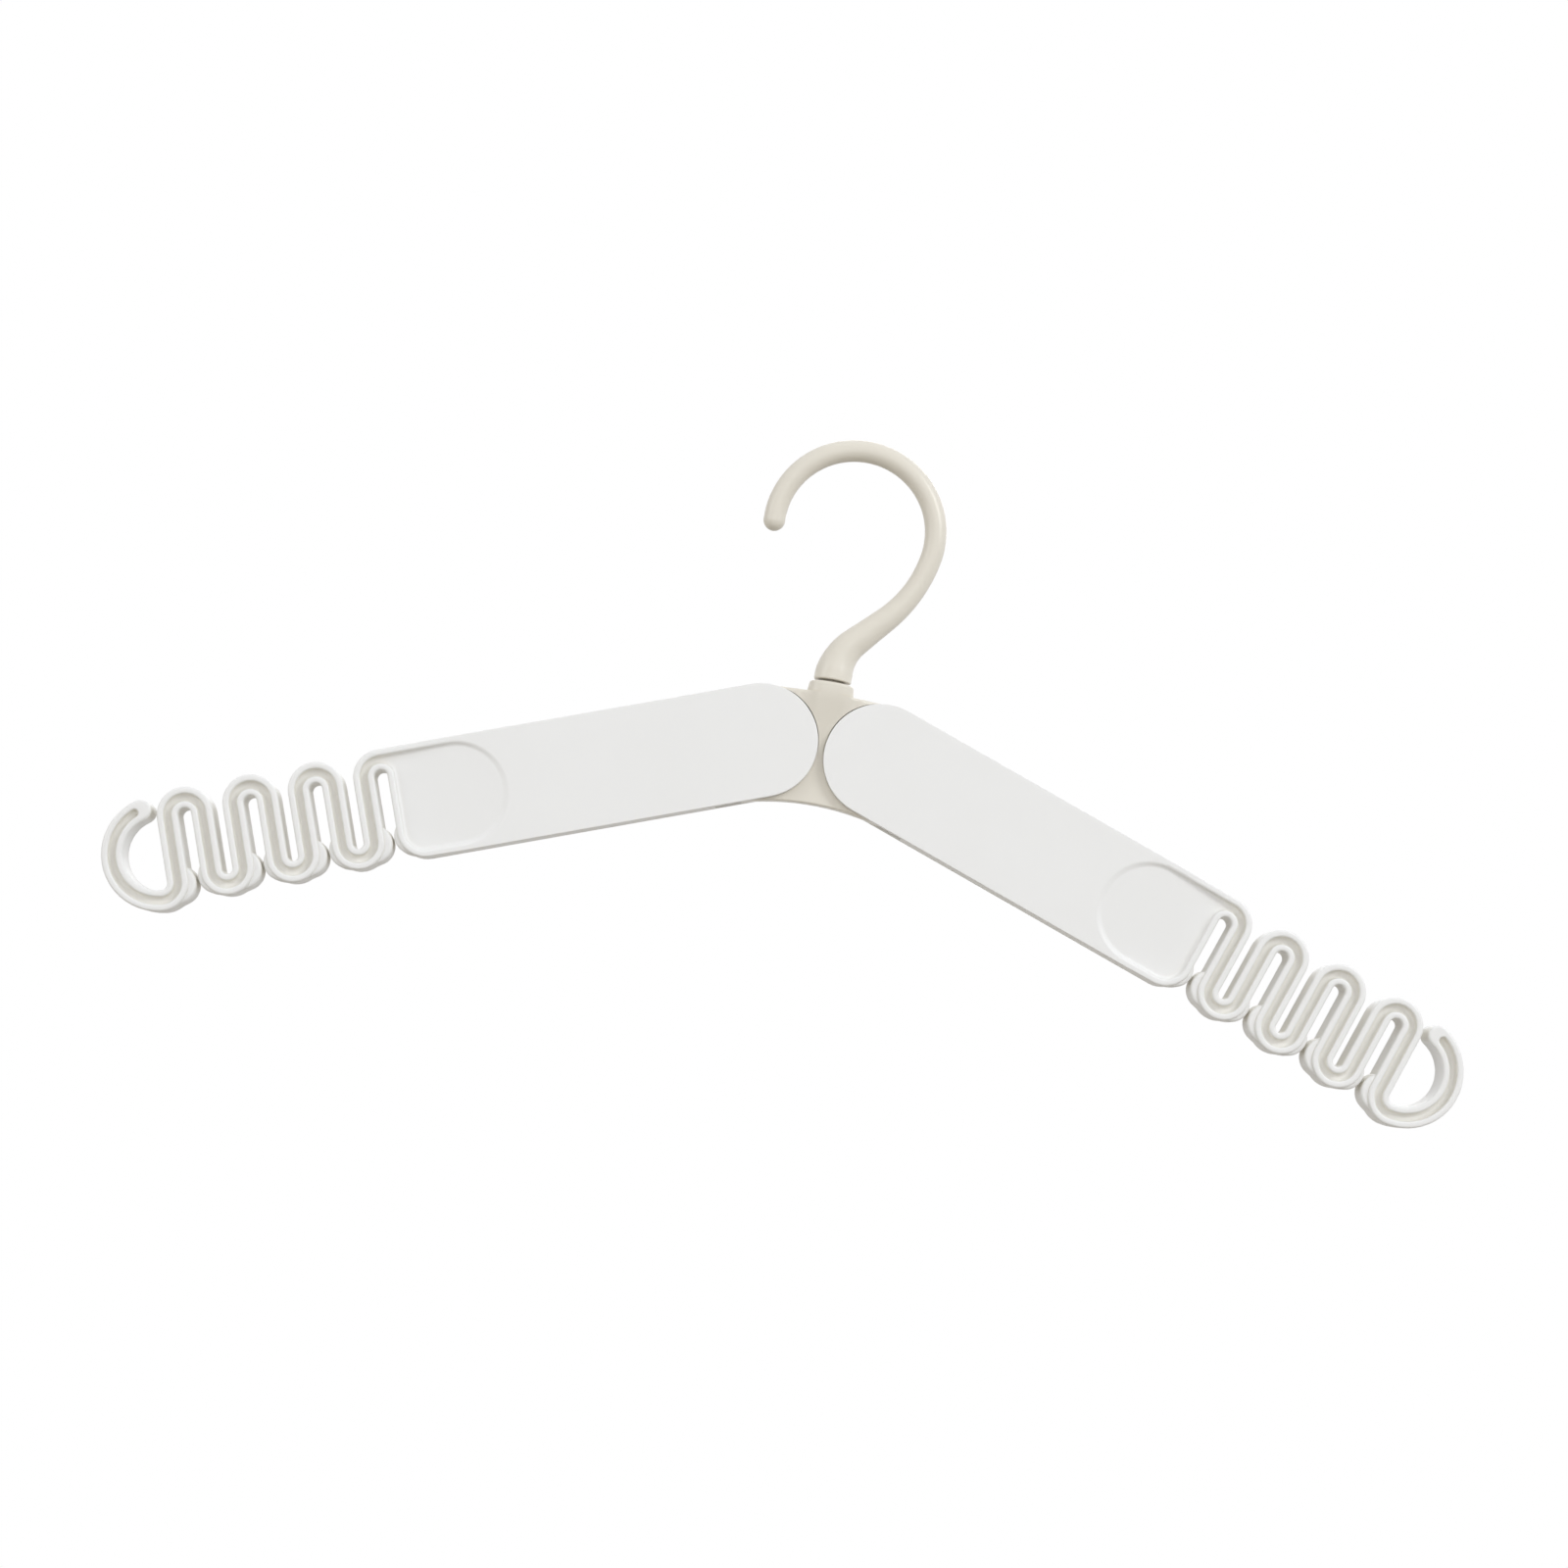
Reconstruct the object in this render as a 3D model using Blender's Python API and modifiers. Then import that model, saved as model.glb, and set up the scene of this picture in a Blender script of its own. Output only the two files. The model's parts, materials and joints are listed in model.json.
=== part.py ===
"""Folding travel hanger: a swivelling hook, a two-part hub and two arms that fold down.

Each arm is a hollow two-part moulding. Its front part runs on into a springy serpentine strip of
channel section, which ends in a C-shaped hook for straps. The front faces -Y and +Z is up.
Heights in the values below are measured from the line through the two arm pivots. The origin of
the model is the inner crown of the hook, where it hangs on a rail, on the swivel axis. The hook's
circle has its centre a little beside that axis.
"""
import math

import bmesh
import bpy
from mathutils import Matrix

MM = 0.001

# Fits that all the pieces share
RUNNING_GAP = 0.3 * MM
SEAM_GAP = 0.3 * MM
OVERRUN = 2.0 * MM

# Arms: slab, cheeks and walls
PIVOT_SPACING = 35.2 * MM
OPEN_DROOP = math.radians(20.0)
FOLD_ANGLE = math.radians(69.0)
ARM_HALF_WIDTH = 16.6 * MM
ARM_THICKNESS = 10.0 * MM
ARM_REACH = 107.6 * MM
CHEEK = 2.0 * MM
WALL = 2.0 * MM
RIM = 0.4 * MM
SLAB_CORNER_RADIUS = 8.0 * MM
END_BLOCK_LENGTH = 37.6 * MM
PARTITION = 2.0 * MM
END_WALL = 3.6 * MM
END_FLOOR = 3.5 * MM

# Serpentine strip
STRAND = 6.1 * MM
SLOT_OPEN_BELOW = 3.8 * MM
SLOT_OPEN_ABOVE = 3.0 * MM
LOOP_COUNT = 3
LOW_BEND_HEIGHT = 9.3 * MM
HIGH_BEND_HEIGHT = 8.2 * MM
LOOP_DROP = 0.28 * MM
RIDGE = 1.95 * MM
GROOVE_DEPTH = 2.2 * MM
GROOVE_TIP_STOP = 8.0

# Foot pads that close the mouths of the slots
PAD_RADIUS = 5.6 * MM
PAD_BULGE = 2.1 * MM
PAD_MOUTH = 0.6 * MM
PAD_DROP = 1.0 * MM
PAD_SETBACK = 0.8 * MM

# C-shaped strap hook at the tip
STRAP_HOOK_RADIUS = 13.65 * MM
STRAP_HOOK_CORNER = 4.95 * MM
STRAP_HOOK_SHIFT = -1.15 * MM
STRAP_HOOK_HEIGHT = -2.15 * MM
STRAP_HOOK_TIP = 75.0

# Recess in the front face of each arm
RECESS_LENGTH = 33.0 * MM
RECESS_SHALLOW = 0.4 * MM

# Ribs and bosses inside an arm
RIB = 1.2 * MM
RIB_HEIGHT = 4.2 * MM
RIB_SHARES = (0.51, 0.86)
BOSS_RADIUS = 3.0 * MM
MID_BOSS_SHARE = 0.685
END_BOSS_SETBACK = 17.6 * MM
LIP = 1.2 * MM
LIP_HEIGHT = 1.5 * MM
LIP_START = 20.0 * MM

# Arm pivot and the screws of an arm
PIVOT_BOSS_RADIUS = 4.0 * MM
PIVOT_SHANK_RADIUS = 1.3 * MM
PIVOT_SHANK_LENGTH = 4.6 * MM
PIVOT_HEAD_RADIUS = 2.9 * MM
COVER_SHANK_RADIUS = 0.9 * MM
COVER_SHANK_LENGTH = 3.6 * MM
COVER_HEAD_RADIUS = 2.0 * MM
HEAD_HEIGHT = 0.9 * MM
HEAD_RECESS = 1.3 * MM

# Detent leaf spring in an arm
DETENT_ANGLE = 55.0
DETENT_NOSE_RADIUS = 0.8 * MM
DETENT_NOTCH_RADIUS = 1.1 * MM
DETENT_NOTCH_DEPTH = 0.6 * MM
LEAF = 0.5 * MM
LEAF_RISE = 0.6 * MM
LEAF_TOE = 2.0 * MM
LEAF_LENGTH = 22.0 * MM
LEAF_WIDTH = 4.4 * MM
POST_NEAR = 17.0 * MM
POST_LENGTH = 4.0 * MM
POST_WALL = 1.5 * MM
POST_HEIGHT = 4.5 * MM

# Hub
HUB_TOP = 16.8 * MM
HUB_BOTTOM = 15.6 * MM
HUB_ARCH_RADIUS = 76.0 * MM
HUB_STOP_GAP = 0.6 * MM
HUB_FOOT_ANGLE = -80.0
ARCH_SHARES = (1.0, 0.67, 0.33)
COLLAR_TOP = 20.1 * MM
COLLAR_RADIUS = 6.5 * MM
COLLAR_CHAMFER = 0.4 * MM
SPINDLE_RADIUS = 6.8 * MM
SPINDLE_HEIGHT = 17.4 * MM
SPINDLE_TOE_RADIUS = 2.5 * MM
SPINDLE_TOE_HEIGHT = 11.0 * MM
SPINDLE_FLARE = 1.5
SPINDLE_SHARES = (1.0, 0.75, 0.5, 0.25, 0.0)
UPPER_SCREW_HEIGHT = 8.5 * MM
LOWER_SCREW_DEPTH = 10.5 * MM
HUB_HEAD_RADIUS = 2.0 * MM
HUB_SHANK_RADIUS = 0.9 * MM
HUB_SCREW_BITE = 1.5 * MM
HUB_SEAT = 1.35 * MM

# Swivel
STEM_RADIUS = 2.4 * MM
STEM_HEAD_RADIUS = 3.6 * MM
STEM_HEAD_HEIGHT = 1.8 * MM
STEM_LENGTH = 4.6 * MM
WASHER_RADIUS = 4.0 * MM
WASHER_THICKNESS = 0.4 * MM
WASHER_PLAY = 0.25 * MM

# Hook
HOOK_OFFSET = -1.0 * MM
HOOK_RADIUS = 23.8 * MM
HOOK_WIRE_RADIUS = 3.2 * MM
HOOK_TIP_ANGLE = 182.4
HOOK_SHOULDER_ANGLE = -10.0
HOOK_SHOULDER_RADIUS = 40.0 * MM
HOOK_NECK_ANGLE = -43.5
HOOK_NECK_RADIUS = 16.0 * MM
HOOK_BASE_RADIUS = 5.5 * MM
HOOK_BASE_STRAIGHT = 1.4 * MM
HOOK_BASE_RIM = 0.4 * MM
HOOK_TAPER_START = 3.0 * MM
HOOK_TAPER_END = 36.0 * MM

# Facets
ARC_STEP = 22.5
FINE_STEP = 12.0
ROUND_STEPS = 20
SMALL_STEPS = 12
SMOOTH_ANGLE = math.radians(35.0)

# Colours and finishes: base colour, roughness, metallic
ARM_PLASTIC = ((0.82, 0.82, 0.80, 1.0), 0.42, 0.0)
HUB_PLASTIC = ((0.70, 0.66, 0.59, 1.0), 0.40, 0.0)
STEEL = ((0.60, 0.60, 0.62, 1.0), 0.30, 1.0)
ACETAL = ((0.30, 0.27, 0.23, 1.0), 0.45, 0.0)

# Sizes that follow from the ones above
HALF_THICKNESS = ARM_THICKNESS / 2
CHEEK_INSIDE = HALF_THICKNESS - CHEEK
HUB_HALF = CHEEK_INSIDE - RUNNING_GAP
HALF_SPACING = PIVOT_SPACING / 2
CAVITY_HALF = ARM_HALF_WIDTH - WALL
LOBE_RADIUS = CAVITY_HALF - RUNNING_GAP
LOWER_WALL_START = HUB_BOTTOM + HUB_STOP_GAP
COVER_LENGTH = ARM_REACH - END_WALL
RECESS_CORNER = SLAB_CORNER_RADIUS - RIDGE
CAVITY_END = ARM_REACH - END_BLOCK_LENGTH
RECESS_START = ARM_REACH - RECESS_LENGTH
RIB_PLACES = tuple(CAVITY_END * share for share in RIB_SHARES)
BOSS_PLACES = (CAVITY_END * MID_BOSS_SHARE, ARM_REACH - END_BOSS_SETBACK)
HALF_STRAND = STRAND / 2
GROOVE_HALF = HALF_STRAND - RIDGE
FIRST_BEND = ARM_REACH + SLOT_OPEN_BELOW / 2
TOP_BEND_RADIUS = (SLOT_OPEN_BELOW + STRAND) / 2
LOW_BEND_RADIUS = (SLOT_OPEN_ABOVE + STRAND) / 2
STEM_HEAD_LOW = COLLAR_TOP - STEM_LENGTH
HOOK_BASE = COLLAR_TOP + WASHER_THICKNESS + 2 * WASHER_PLAY
HUB_SCREW_PLACES = {"hub_screw_upper": UPPER_SCREW_HEIGHT, "hub_screw_lower": -LOWER_SCREW_DEPTH}


def polar(centre, radius, degrees):
    """Point on a circle in the plane of the hanger."""
    angle = math.radians(degrees)
    return (centre[0] + radius * math.cos(angle), centre[1] + radius * math.sin(angle))


def arc(centre, radius, start, end, step=ARC_STEP):
    """Points along an arc, both ends included."""
    count = max(1, round(abs(end - start) / step))
    return [polar(centre, radius, start + (end - start) * i / count) for i in range(count + 1)]


def without_repeats(points):
    """The same outline with points that coincide with their neighbour left out."""
    kept = []
    for index, point in enumerate(points):
        if math.dist(point, points[index - 1]) > RUNNING_GAP / 10:
            kept.append(point)
    return kept


def hook_centre_height():
    """Height of the hook circle's centre, stacked up from the hook's base."""
    sweep = math.radians(-HOOK_NECK_ANGLE)
    shoulder = math.radians(-HOOK_SHOULDER_ANGLE)
    reach = HOOK_SHOULDER_RADIUS - HOOK_RADIUS
    bend_x = HOOK_OFFSET + HOOK_SHOULDER_RADIUS * math.cos(sweep) - reach * math.cos(shoulder)
    neck_x = HOOK_NECK_RADIUS * (1 - math.cos(sweep))
    straight_rise = (bend_x - neck_x) / math.tan(sweep)
    neck_top = HOOK_BASE + HOOK_BASE_STRAIGHT + HOOK_NECK_RADIUS * math.sin(sweep)
    bend_rise = HOOK_SHOULDER_RADIUS * math.sin(sweep) - reach * math.sin(shoulder)
    return neck_top + straight_rise + bend_rise


HOOK_CENTRE = hook_centre_height()
PIVOT_LINE = -(HOOK_CENTRE + HOOK_RADIUS - HOOK_WIRE_RADIUS)


def clear_scene():
    """Empty the file that the script runs in."""
    for item in list(bpy.data.objects):
        bpy.data.objects.remove(item, do_unlink=True)


def new_collection(name):
    """A collection in the scene."""
    collection = bpy.data.collections.new(name)
    bpy.context.scene.collection.children.link(collection)
    return collection


def new_empty(name, place, turn=0.0):
    """An empty on a joint's axis, which carries the pieces that turn about it."""
    empty = bpy.data.objects.new(name, None)
    empty.empty_display_size = ARM_HALF_WIDTH
    empty.location = place
    empty.rotation_euler = (0.0, turn, 0.0)
    PARTS.objects.link(empty)
    return empty


def finish(obj, look):
    """Settle a piece's cuts and joins, shade its round faces smooth and give it its material."""
    if obj.modifiers:
        mesh = evaluated_mesh(obj)
        obj.modifiers.clear()
        obj.data = mesh
    obj.data.shade_smooth()
    obj.data.set_sharp_from_angle(angle=SMOOTH_ANGLE)
    colour, roughness, metallic = look
    material = bpy.data.materials.new(obj.name + "_finish")
    material.use_nodes = True
    shader = material.node_tree.nodes["Principled BSDF"]
    shader.inputs["Base Color"].default_value = colour
    shader.inputs["Roughness"].default_value = roughness
    shader.inputs["Metallic"].default_value = metallic
    obj.data.materials.clear()
    obj.data.materials.append(material)


def closed_mesh(mesh):
    """Weld a mesh and turn its faces outwards."""
    work = bmesh.new()
    work.from_mesh(mesh)
    bmesh.ops.remove_doubles(work, verts=work.verts, dist=RUNNING_GAP / 100)
    bmesh.ops.recalc_face_normals(work, faces=work.faces)
    work.to_mesh(mesh)
    work.free()


def evaluated_mesh(obj):
    """The mesh that an object's modifiers or curve make."""
    bpy.context.view_layer.update()
    graph = bpy.context.evaluated_depsgraph_get()
    return bpy.data.meshes.new_from_object(obj.evaluated_get(graph))


def mesh_object(name, mesh, parent, helper):
    """Put a mesh in the scene as a piece, or as a hidden cutter."""
    obj = bpy.data.objects.new(name, mesh)
    if helper:
        CUTTERS.objects.link(obj)
        obj.hide_render = True
        obj.display_type = "WIRE"
    else:
        PARTS.objects.link(obj)
    obj.parent = parent
    return obj


def plate(name, outline, front, back, parent, rim=0.0, helper=False):
    """Flat piece with the given outline in X and Z, between two Y planes."""
    curve = bpy.data.curves.new(name, "CURVE")
    curve.dimensions = "2D"
    curve.fill_mode = "BOTH"
    curve.extrude = (back - front) / 2 - rim
    curve.bevel_depth = rim
    curve.bevel_resolution = 0
    curve.offset = -rim
    spline = curve.splines.new("POLY")
    spline.points.add(len(outline) - 1)
    for point, (x, z) in zip(spline.points, outline):
        point.co = (x, z, 0.0, 1.0)
    spline.use_cyclic_u = True
    source = bpy.data.objects.new(name + "_outline", curve)
    bpy.context.scene.collection.objects.link(source)
    mesh = evaluated_mesh(source)
    bpy.data.objects.remove(source)
    stand_up = Matrix.Rotation(math.radians(90.0), 4, "X")
    mesh.transform(Matrix.Translation((0.0, (front + back) / 2, 0.0)) @ stand_up)
    closed_mesh(mesh)
    return mesh_object(name, mesh, parent, helper)


def box(name, low, high, parent, helper=True):
    """Box between two corners."""
    work = bmesh.new()
    size = [b - a for a, b in zip(low, high)]
    middle = [(a + b) / 2 for a, b in zip(low, high)]
    bmesh.ops.create_cube(work, size=1.0, matrix=Matrix.Translation(middle) @ Matrix.Diagonal((*size, 1.0)))
    mesh = bpy.data.meshes.new(name)
    work.to_mesh(mesh)
    work.free()
    return mesh_object(name, mesh, parent, helper)


def turned(name, profile, parent, steps=ROUND_STEPS, axis="Z", place=(0.0, 0.0), helper=False):
    """Turned solid from a profile of radius and height, listed from the top down.

    With axis Z it stands on the swivel axis. With axis Y its top points to the rear, and place
    gives its X and Z.
    """
    mesh = bpy.data.meshes.new(name)
    points = [(radius, 0.0, height) for radius, height in profile]
    mesh.from_pydata(points, [(i, i + 1) for i in range(len(points) - 1)], [])
    obj = mesh_object(name, mesh, parent, helper)
    screw = obj.modifiers.new("turn", "SCREW")
    screw.axis = "Z"
    screw.steps = steps
    screw.render_steps = steps
    screw.use_merge_vertices = True
    screw.merge_threshold = RUNNING_GAP / 30
    if axis == "Y":
        obj.rotation_euler = (math.radians(-90.0), 0.0, 0.0)
        obj.location = (place[0], 0.0, place[1])
    return obj


def peg(name, radius, front, back, parent, steps=ROUND_STEPS, place=(0.0, 0.0)):
    """Plain cylinder along Y between two planes, as a helper for a boss or a bore."""
    work = bmesh.new()
    lie_down = Matrix.Rotation(math.radians(90.0), 4, "X")
    middle = Matrix.Translation((place[0], (front + back) / 2, place[1]))
    bmesh.ops.create_cone(
        work, cap_ends=True, segments=steps, radius1=radius, radius2=radius, depth=back - front,
        matrix=middle @ lie_down
    )
    mesh = bpy.data.meshes.new(name)
    work.to_mesh(mesh)
    work.free()
    return mesh_object(name, mesh, parent, helper=True)


def combine(target, tool, operation):
    """Cut a piece with a helper, or join the helper to it."""
    modifier = target.modifiers.new(tool.name, "BOOLEAN")
    modifier.operation = operation
    modifier.solver = "EXACT"
    modifier.object = tool


def cut(target, *tools):
    """Take helpers away from a piece."""
    for tool in tools:
        combine(target, tool, "DIFFERENCE")


def join(target, *tools):
    """Add helpers to a piece."""
    for tool in tools:
        combine(target, tool, "UNION")


def cylinder_profile(radius, low, high):
    """Profile of a plain cylinder from the top down."""
    return [(0.0, high), (radius, high), (radius, low), (0.0, low)]


def stepped_profile(upper_radius, top, lower_radius, step, bottom):
    """Profile of two cylinders of unlike radius, one on the other, from the top down."""
    upper = [(0.0, top), (upper_radius, top), (upper_radius, step)]
    return upper + [(lower_radius, step), (lower_radius, bottom), (0.0, bottom)]


def strand_arcs():
    """Bends of the serpentine's centre line from the slab outwards, joined by straight runs."""
    bends = [((FIRST_BEND, ARM_HALF_WIDTH - HALF_STRAND - TOP_BEND_RADIUS), TOP_BEND_RADIUS, 90.0, 0.0)]
    x = FIRST_BEND
    for loop in range(LOOP_COUNT):
        drop = loop * LOOP_DROP
        x += TOP_BEND_RADIUS + LOW_BEND_RADIUS
        bends.append(((x, -LOW_BEND_HEIGHT - drop), LOW_BEND_RADIUS, 180.0, 360.0))
        x += LOW_BEND_RADIUS + TOP_BEND_RADIUS
        bends.append(((x, HIGH_BEND_HEIGHT - drop), TOP_BEND_RADIUS, 180.0, 0.0))
    x += TOP_BEND_RADIUS + STRAP_HOOK_CORNER
    between = STRAP_HOOK_RADIUS - STRAP_HOOK_CORNER
    meet = -90.0 - math.degrees(math.asin(STRAP_HOOK_SHIFT / between))
    centre = (x + STRAP_HOOK_SHIFT, STRAP_HOOK_HEIGHT)
    corner = polar(centre, between, meet)
    bends.append((corner, STRAP_HOOK_CORNER, 180.0, 360.0 + meet))
    bends.append((centre, STRAP_HOOK_RADIUS, meet, STRAP_HOOK_TIP))
    return bends


def strand_side(bends, distance):
    """Line beside the centre line, to the left of the way outwards where distance is positive."""
    points = []
    for centre, radius, start, end in bends:
        side = distance if end < start else -distance
        points += arc(centre, radius + side, start, end)
    return points


def strand_band(bends, half_width):
    """Outline of a band along the centre line, with a round end at the tip."""
    centre, radius, _, tip = bends[-1]
    cap = arc(polar(centre, radius, tip), half_width, tip + 180.0, tip, FINE_STEP * 3)
    left = strand_side(bends, half_width)
    right = strand_side(bends, -half_width)
    return left, cap, right[::-1]


def arm_outline():
    """Outline of the arm: slab with a round inner end, serpentine and strap hook."""
    bends = strand_arcs()
    left, cap, right = strand_band(bends, HALF_STRAND)
    first_centre, first_radius, _, _ = bends[0]
    inner_end = arc((0.0, 0.0), ARM_HALF_WIDTH, 270.0, 90.0, FINE_STEP)
    slot_top = arc(first_centre, first_radius - HALF_STRAND, 90.0, 180.0)
    corner = arc(slab_corner(), SLAB_CORNER_RADIUS, 0.0, -90.0)
    return without_repeats(inner_end + left + cap + right + slot_top + corner)


def slab_corner():
    """Centre of the slab's round lower corner."""
    return (ARM_REACH - SLAB_CORNER_RADIUS, SLAB_CORNER_RADIUS - ARM_HALF_WIDTH)


def pad_outline(bend, outer, bulge, side):
    """Foot pad on the face of a low bend, whose edge runs on straight into that bend."""
    centre = (outer + bulge - PAD_RADIUS, -PAD_DROP)
    reach = math.degrees(math.acos((PAD_RADIUS - bulge - HALF_STRAND) / PAD_RADIUS))
    lean = math.acos((outer - PAD_RADIUS) / math.hypot(*centre))
    touch = math.degrees(math.atan2(centre[1], centre[0]) - lean)
    edge = arc(centre, PAD_RADIUS, reach, touch) + [polar((0.0, 0.0), outer, touch)]
    return [(bend[0] + side * x, bend[1] + z) for x, z in edge]


def pad_outlines():
    """Foot pads on both sides of each slot that opens below, the larger on its outward side."""
    low_bends = [bend for bend in strand_arcs() if bend[2] == 180.0 and bend[3] > 180.0]
    holders = [(slab_corner(), SLAB_CORNER_RADIUS)]
    holders += [(centre, radius + HALF_STRAND) for centre, radius, _, _ in low_bends]
    small_bulge = SLOT_OPEN_BELOW - PAD_MOUTH - PAD_BULGE
    pads = []
    for hubward, outward in zip(holders, holders[1:]):
        pads.append(pad_outline(*hubward, small_bulge, 1.0))
        pads.append(pad_outline(*outward, PAD_BULGE, -1.0))
    return pads


def recess_outline():
    """Outline of the front recess, which runs on into the groove of the strip."""
    half = ARM_HALF_WIDTH - RIDGE
    first_centre, first_radius, _, _ = strand_arcs()[0]
    ridge_radius = first_radius - GROOVE_HALF
    inner = arc((RECESS_START + half, 0.0), half, 270.0, 90.0, FINE_STEP)
    over_slot = arc(first_centre, ridge_radius, 90.0, 180.0)
    corner_centre = (first_centre[0] - ridge_radius - RECESS_CORNER, RECESS_CORNER - half)
    corner = arc(corner_centre, RECESS_CORNER, 0.0, -90.0)
    return without_repeats(inner + [(first_centre[0], half)] + over_slot + corner)


def recess_cutter(parent):
    """Cutter for the recess, whose floor slopes down to the depth of the groove."""
    front = -HALF_THICKNESS
    cutter = plate("recess_cutter", recess_outline(), front - OVERRUN, front + OVERRUN, parent, helper=True)
    for vertex in cutter.data.vertices:
        if vertex.co.y > front:
            share = (vertex.co.x - RECESS_START) / (FIRST_BEND - RECESS_START)
            vertex.co.y = front + RECESS_SHALLOW + share * (GROOVE_DEPTH - RECESS_SHALLOW)
    return cutter


def groove_cutter(parent):
    """Cutter for the front and rear grooves along the strip, which stop short of the tip."""
    bends = strand_arcs()
    centre, radius, start, end = bends[-1]
    bends[-1] = (centre, radius, start, end - GROOVE_TIP_STOP)
    left, cap, right = strand_band(bends, GROOVE_HALF)
    outline = without_repeats(left + cap + right)
    outer = HALF_THICKNESS + OVERRUN
    floor = HALF_THICKNESS - GROOVE_DEPTH
    cutter = plate("grooves", outline, -outer, -floor, parent, helper=True)
    rear = plate("rear_groove", outline, floor, outer, parent, helper=True)
    work = bmesh.new()
    work.from_mesh(cutter.data)
    work.from_mesh(rear.data)
    work.to_mesh(cutter.data)
    work.free()
    bpy.data.objects.remove(rear)
    return cutter


def cavity_outline():
    """Space behind the front cheek, open round the inner end for the hub."""
    far = ARM_HALF_WIDTH + OVERRUN
    return [
        (-far, -far),
        (LOWER_WALL_START, -far),
        (LOWER_WALL_START, -CAVITY_HALF),
        (CAVITY_END, -CAVITY_HALF),
        (CAVITY_END, CAVITY_HALF),
        (0.0, CAVITY_HALF),
        (0.0, far),
        (-far, far),
    ]


def along_leaf(distance, radius):
    """Point beside the leaf spring: distance along it from its nose, radius from the pivot."""
    angle = math.radians(DETENT_ANGLE)
    x = radius * math.cos(angle) + distance * math.sin(angle)
    z = radius * math.sin(angle) - distance * math.cos(angle)
    return (x, z)


def leaf_inside():
    """Distance of the leaf's inner face from the pivot."""
    return LOBE_RADIUS + RUNNING_GAP + LEAF_RISE


def leaf_outline():
    """Edge view of the leaf spring, with a round nose that seats in the hub's notches."""
    inside = leaf_inside()
    nose_centre = (0.0, LOBE_RADIUS + RUNNING_GAP + DETENT_NOSE_RADIUS)
    spread = math.degrees(math.acos((DETENT_NOSE_RADIUS - LEAF_RISE) / DETENT_NOSE_RADIUS))
    nose = arc(nose_centre, DETENT_NOSE_RADIUS, 270.0 - spread, 270.0 + spread, 2 * FINE_STEP)
    ends = [(LEAF_LENGTH, inside), (LEAF_LENGTH, inside + LEAF), (-LEAF_TOE, inside + LEAF)]
    outline = [(-LEAF_TOE, inside)] + nose + ends
    return [along_leaf(distance, radius) for distance, radius in outline]


def post_outlines():
    """Two posts that grip the far end of the leaf spring."""
    far = POST_NEAR + POST_LENGTH
    inner_face = leaf_inside() - RUNNING_GAP
    outer_face = leaf_inside() + LEAF + RUNNING_GAP
    spans = [(inner_face - POST_WALL, inner_face), (outer_face, outer_face + POST_WALL)]
    posts = []
    for low, high in spans:
        corners = [(POST_NEAR, low), (far, low), (far, high), (POST_NEAR, high)]
        posts.append([along_leaf(distance, radius) for distance, radius in corners])
    return posts


def arm_front_shell(name, parent):
    """Front part of an arm: cheek, walls, ribs, bosses, serpentine and strap hook."""
    rear = HALF_THICKNESS + OVERRUN
    inside = -CHEEK_INSIDE
    root = inside - CHEEK / 2
    shell = plate(name, arm_outline(), -HALF_THICKNESS, HALF_THICKNESS, parent, RIM)
    pad_half = HALF_THICKNESS - PAD_SETBACK
    for index, outline in enumerate(pad_outlines()):
        join(shell, plate(f"pad_{index}", outline, -pad_half, pad_half, parent, RIM, helper=True))

    cavity = plate("cavity", cavity_outline(), inside, rear, parent, helper=True)
    far = ARM_HALF_WIDTH + OVERRUN
    seat_low = (-far, CHEEK_INSIDE - SEAM_GAP, -far)
    seat = box("cover_seat", seat_low, (COVER_LENGTH + SEAM_GAP, rear, far), parent)
    pocket_low = (CAVITY_END + PARTITION, END_FLOOR - HALF_THICKNESS, -CAVITY_HALF)
    pocket = box("end_pocket", pocket_low, (COVER_LENGTH - PARTITION, rear, CAVITY_HALF), parent)
    cut(shell, cavity, seat, pocket)

    wall_root = CAVITY_HALF + WALL / 2
    for index, place in enumerate(RIB_PLACES):
        low = (place - RIB / 2, root, -wall_root)
        high = (place + RIB / 2, inside + RIB_HEIGHT, wall_root)
        join(shell, box(f"cross_rib_{index}", low, high, parent))
    low = (RIB_PLACES[0], root, -RIB / 2)
    high = (CAVITY_END + PARTITION / 2, inside + RIB_HEIGHT / 2, RIB / 2)
    join(shell, box("long_rib", low, high, parent))
    for index, outline in enumerate(post_outlines()):
        join(shell, plate(f"post_{index}", outline, root, inside + POST_HEIGHT, parent, helper=True))

    boss_top = CHEEK_INSIDE - RUNNING_GAP
    join(shell, peg("pivot_boss", PIVOT_BOSS_RADIUS, root, boss_top, parent))
    boss_root = END_FLOOR - HALF_THICKNESS - CHEEK
    for index, place in enumerate(BOSS_PLACES):
        join(shell, peg(f"boss_{index}", BOSS_RADIUS, boss_root, boss_top, parent, SMALL_STEPS, (place, 0.0)))
    hole = PIVOT_SHANK_RADIUS + RUNNING_GAP
    cut(shell, peg("pivot_pilot", hole, inside + RUNNING_GAP, rear, parent, SMALL_STEPS))
    hole = COVER_SHANK_RADIUS + RUNNING_GAP
    floor = HALF_THICKNESS - HEAD_RECESS - COVER_SHANK_LENGTH
    for index, place in enumerate(BOSS_PLACES):
        cut(shell, peg(f"pilot_{index}", hole, floor, rear, parent, SMALL_STEPS, (place, 0.0)))

    cut(shell, recess_cutter(parent), groove_cutter(parent))
    finish(shell, ARM_PLASTIC)
    return shell


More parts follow.
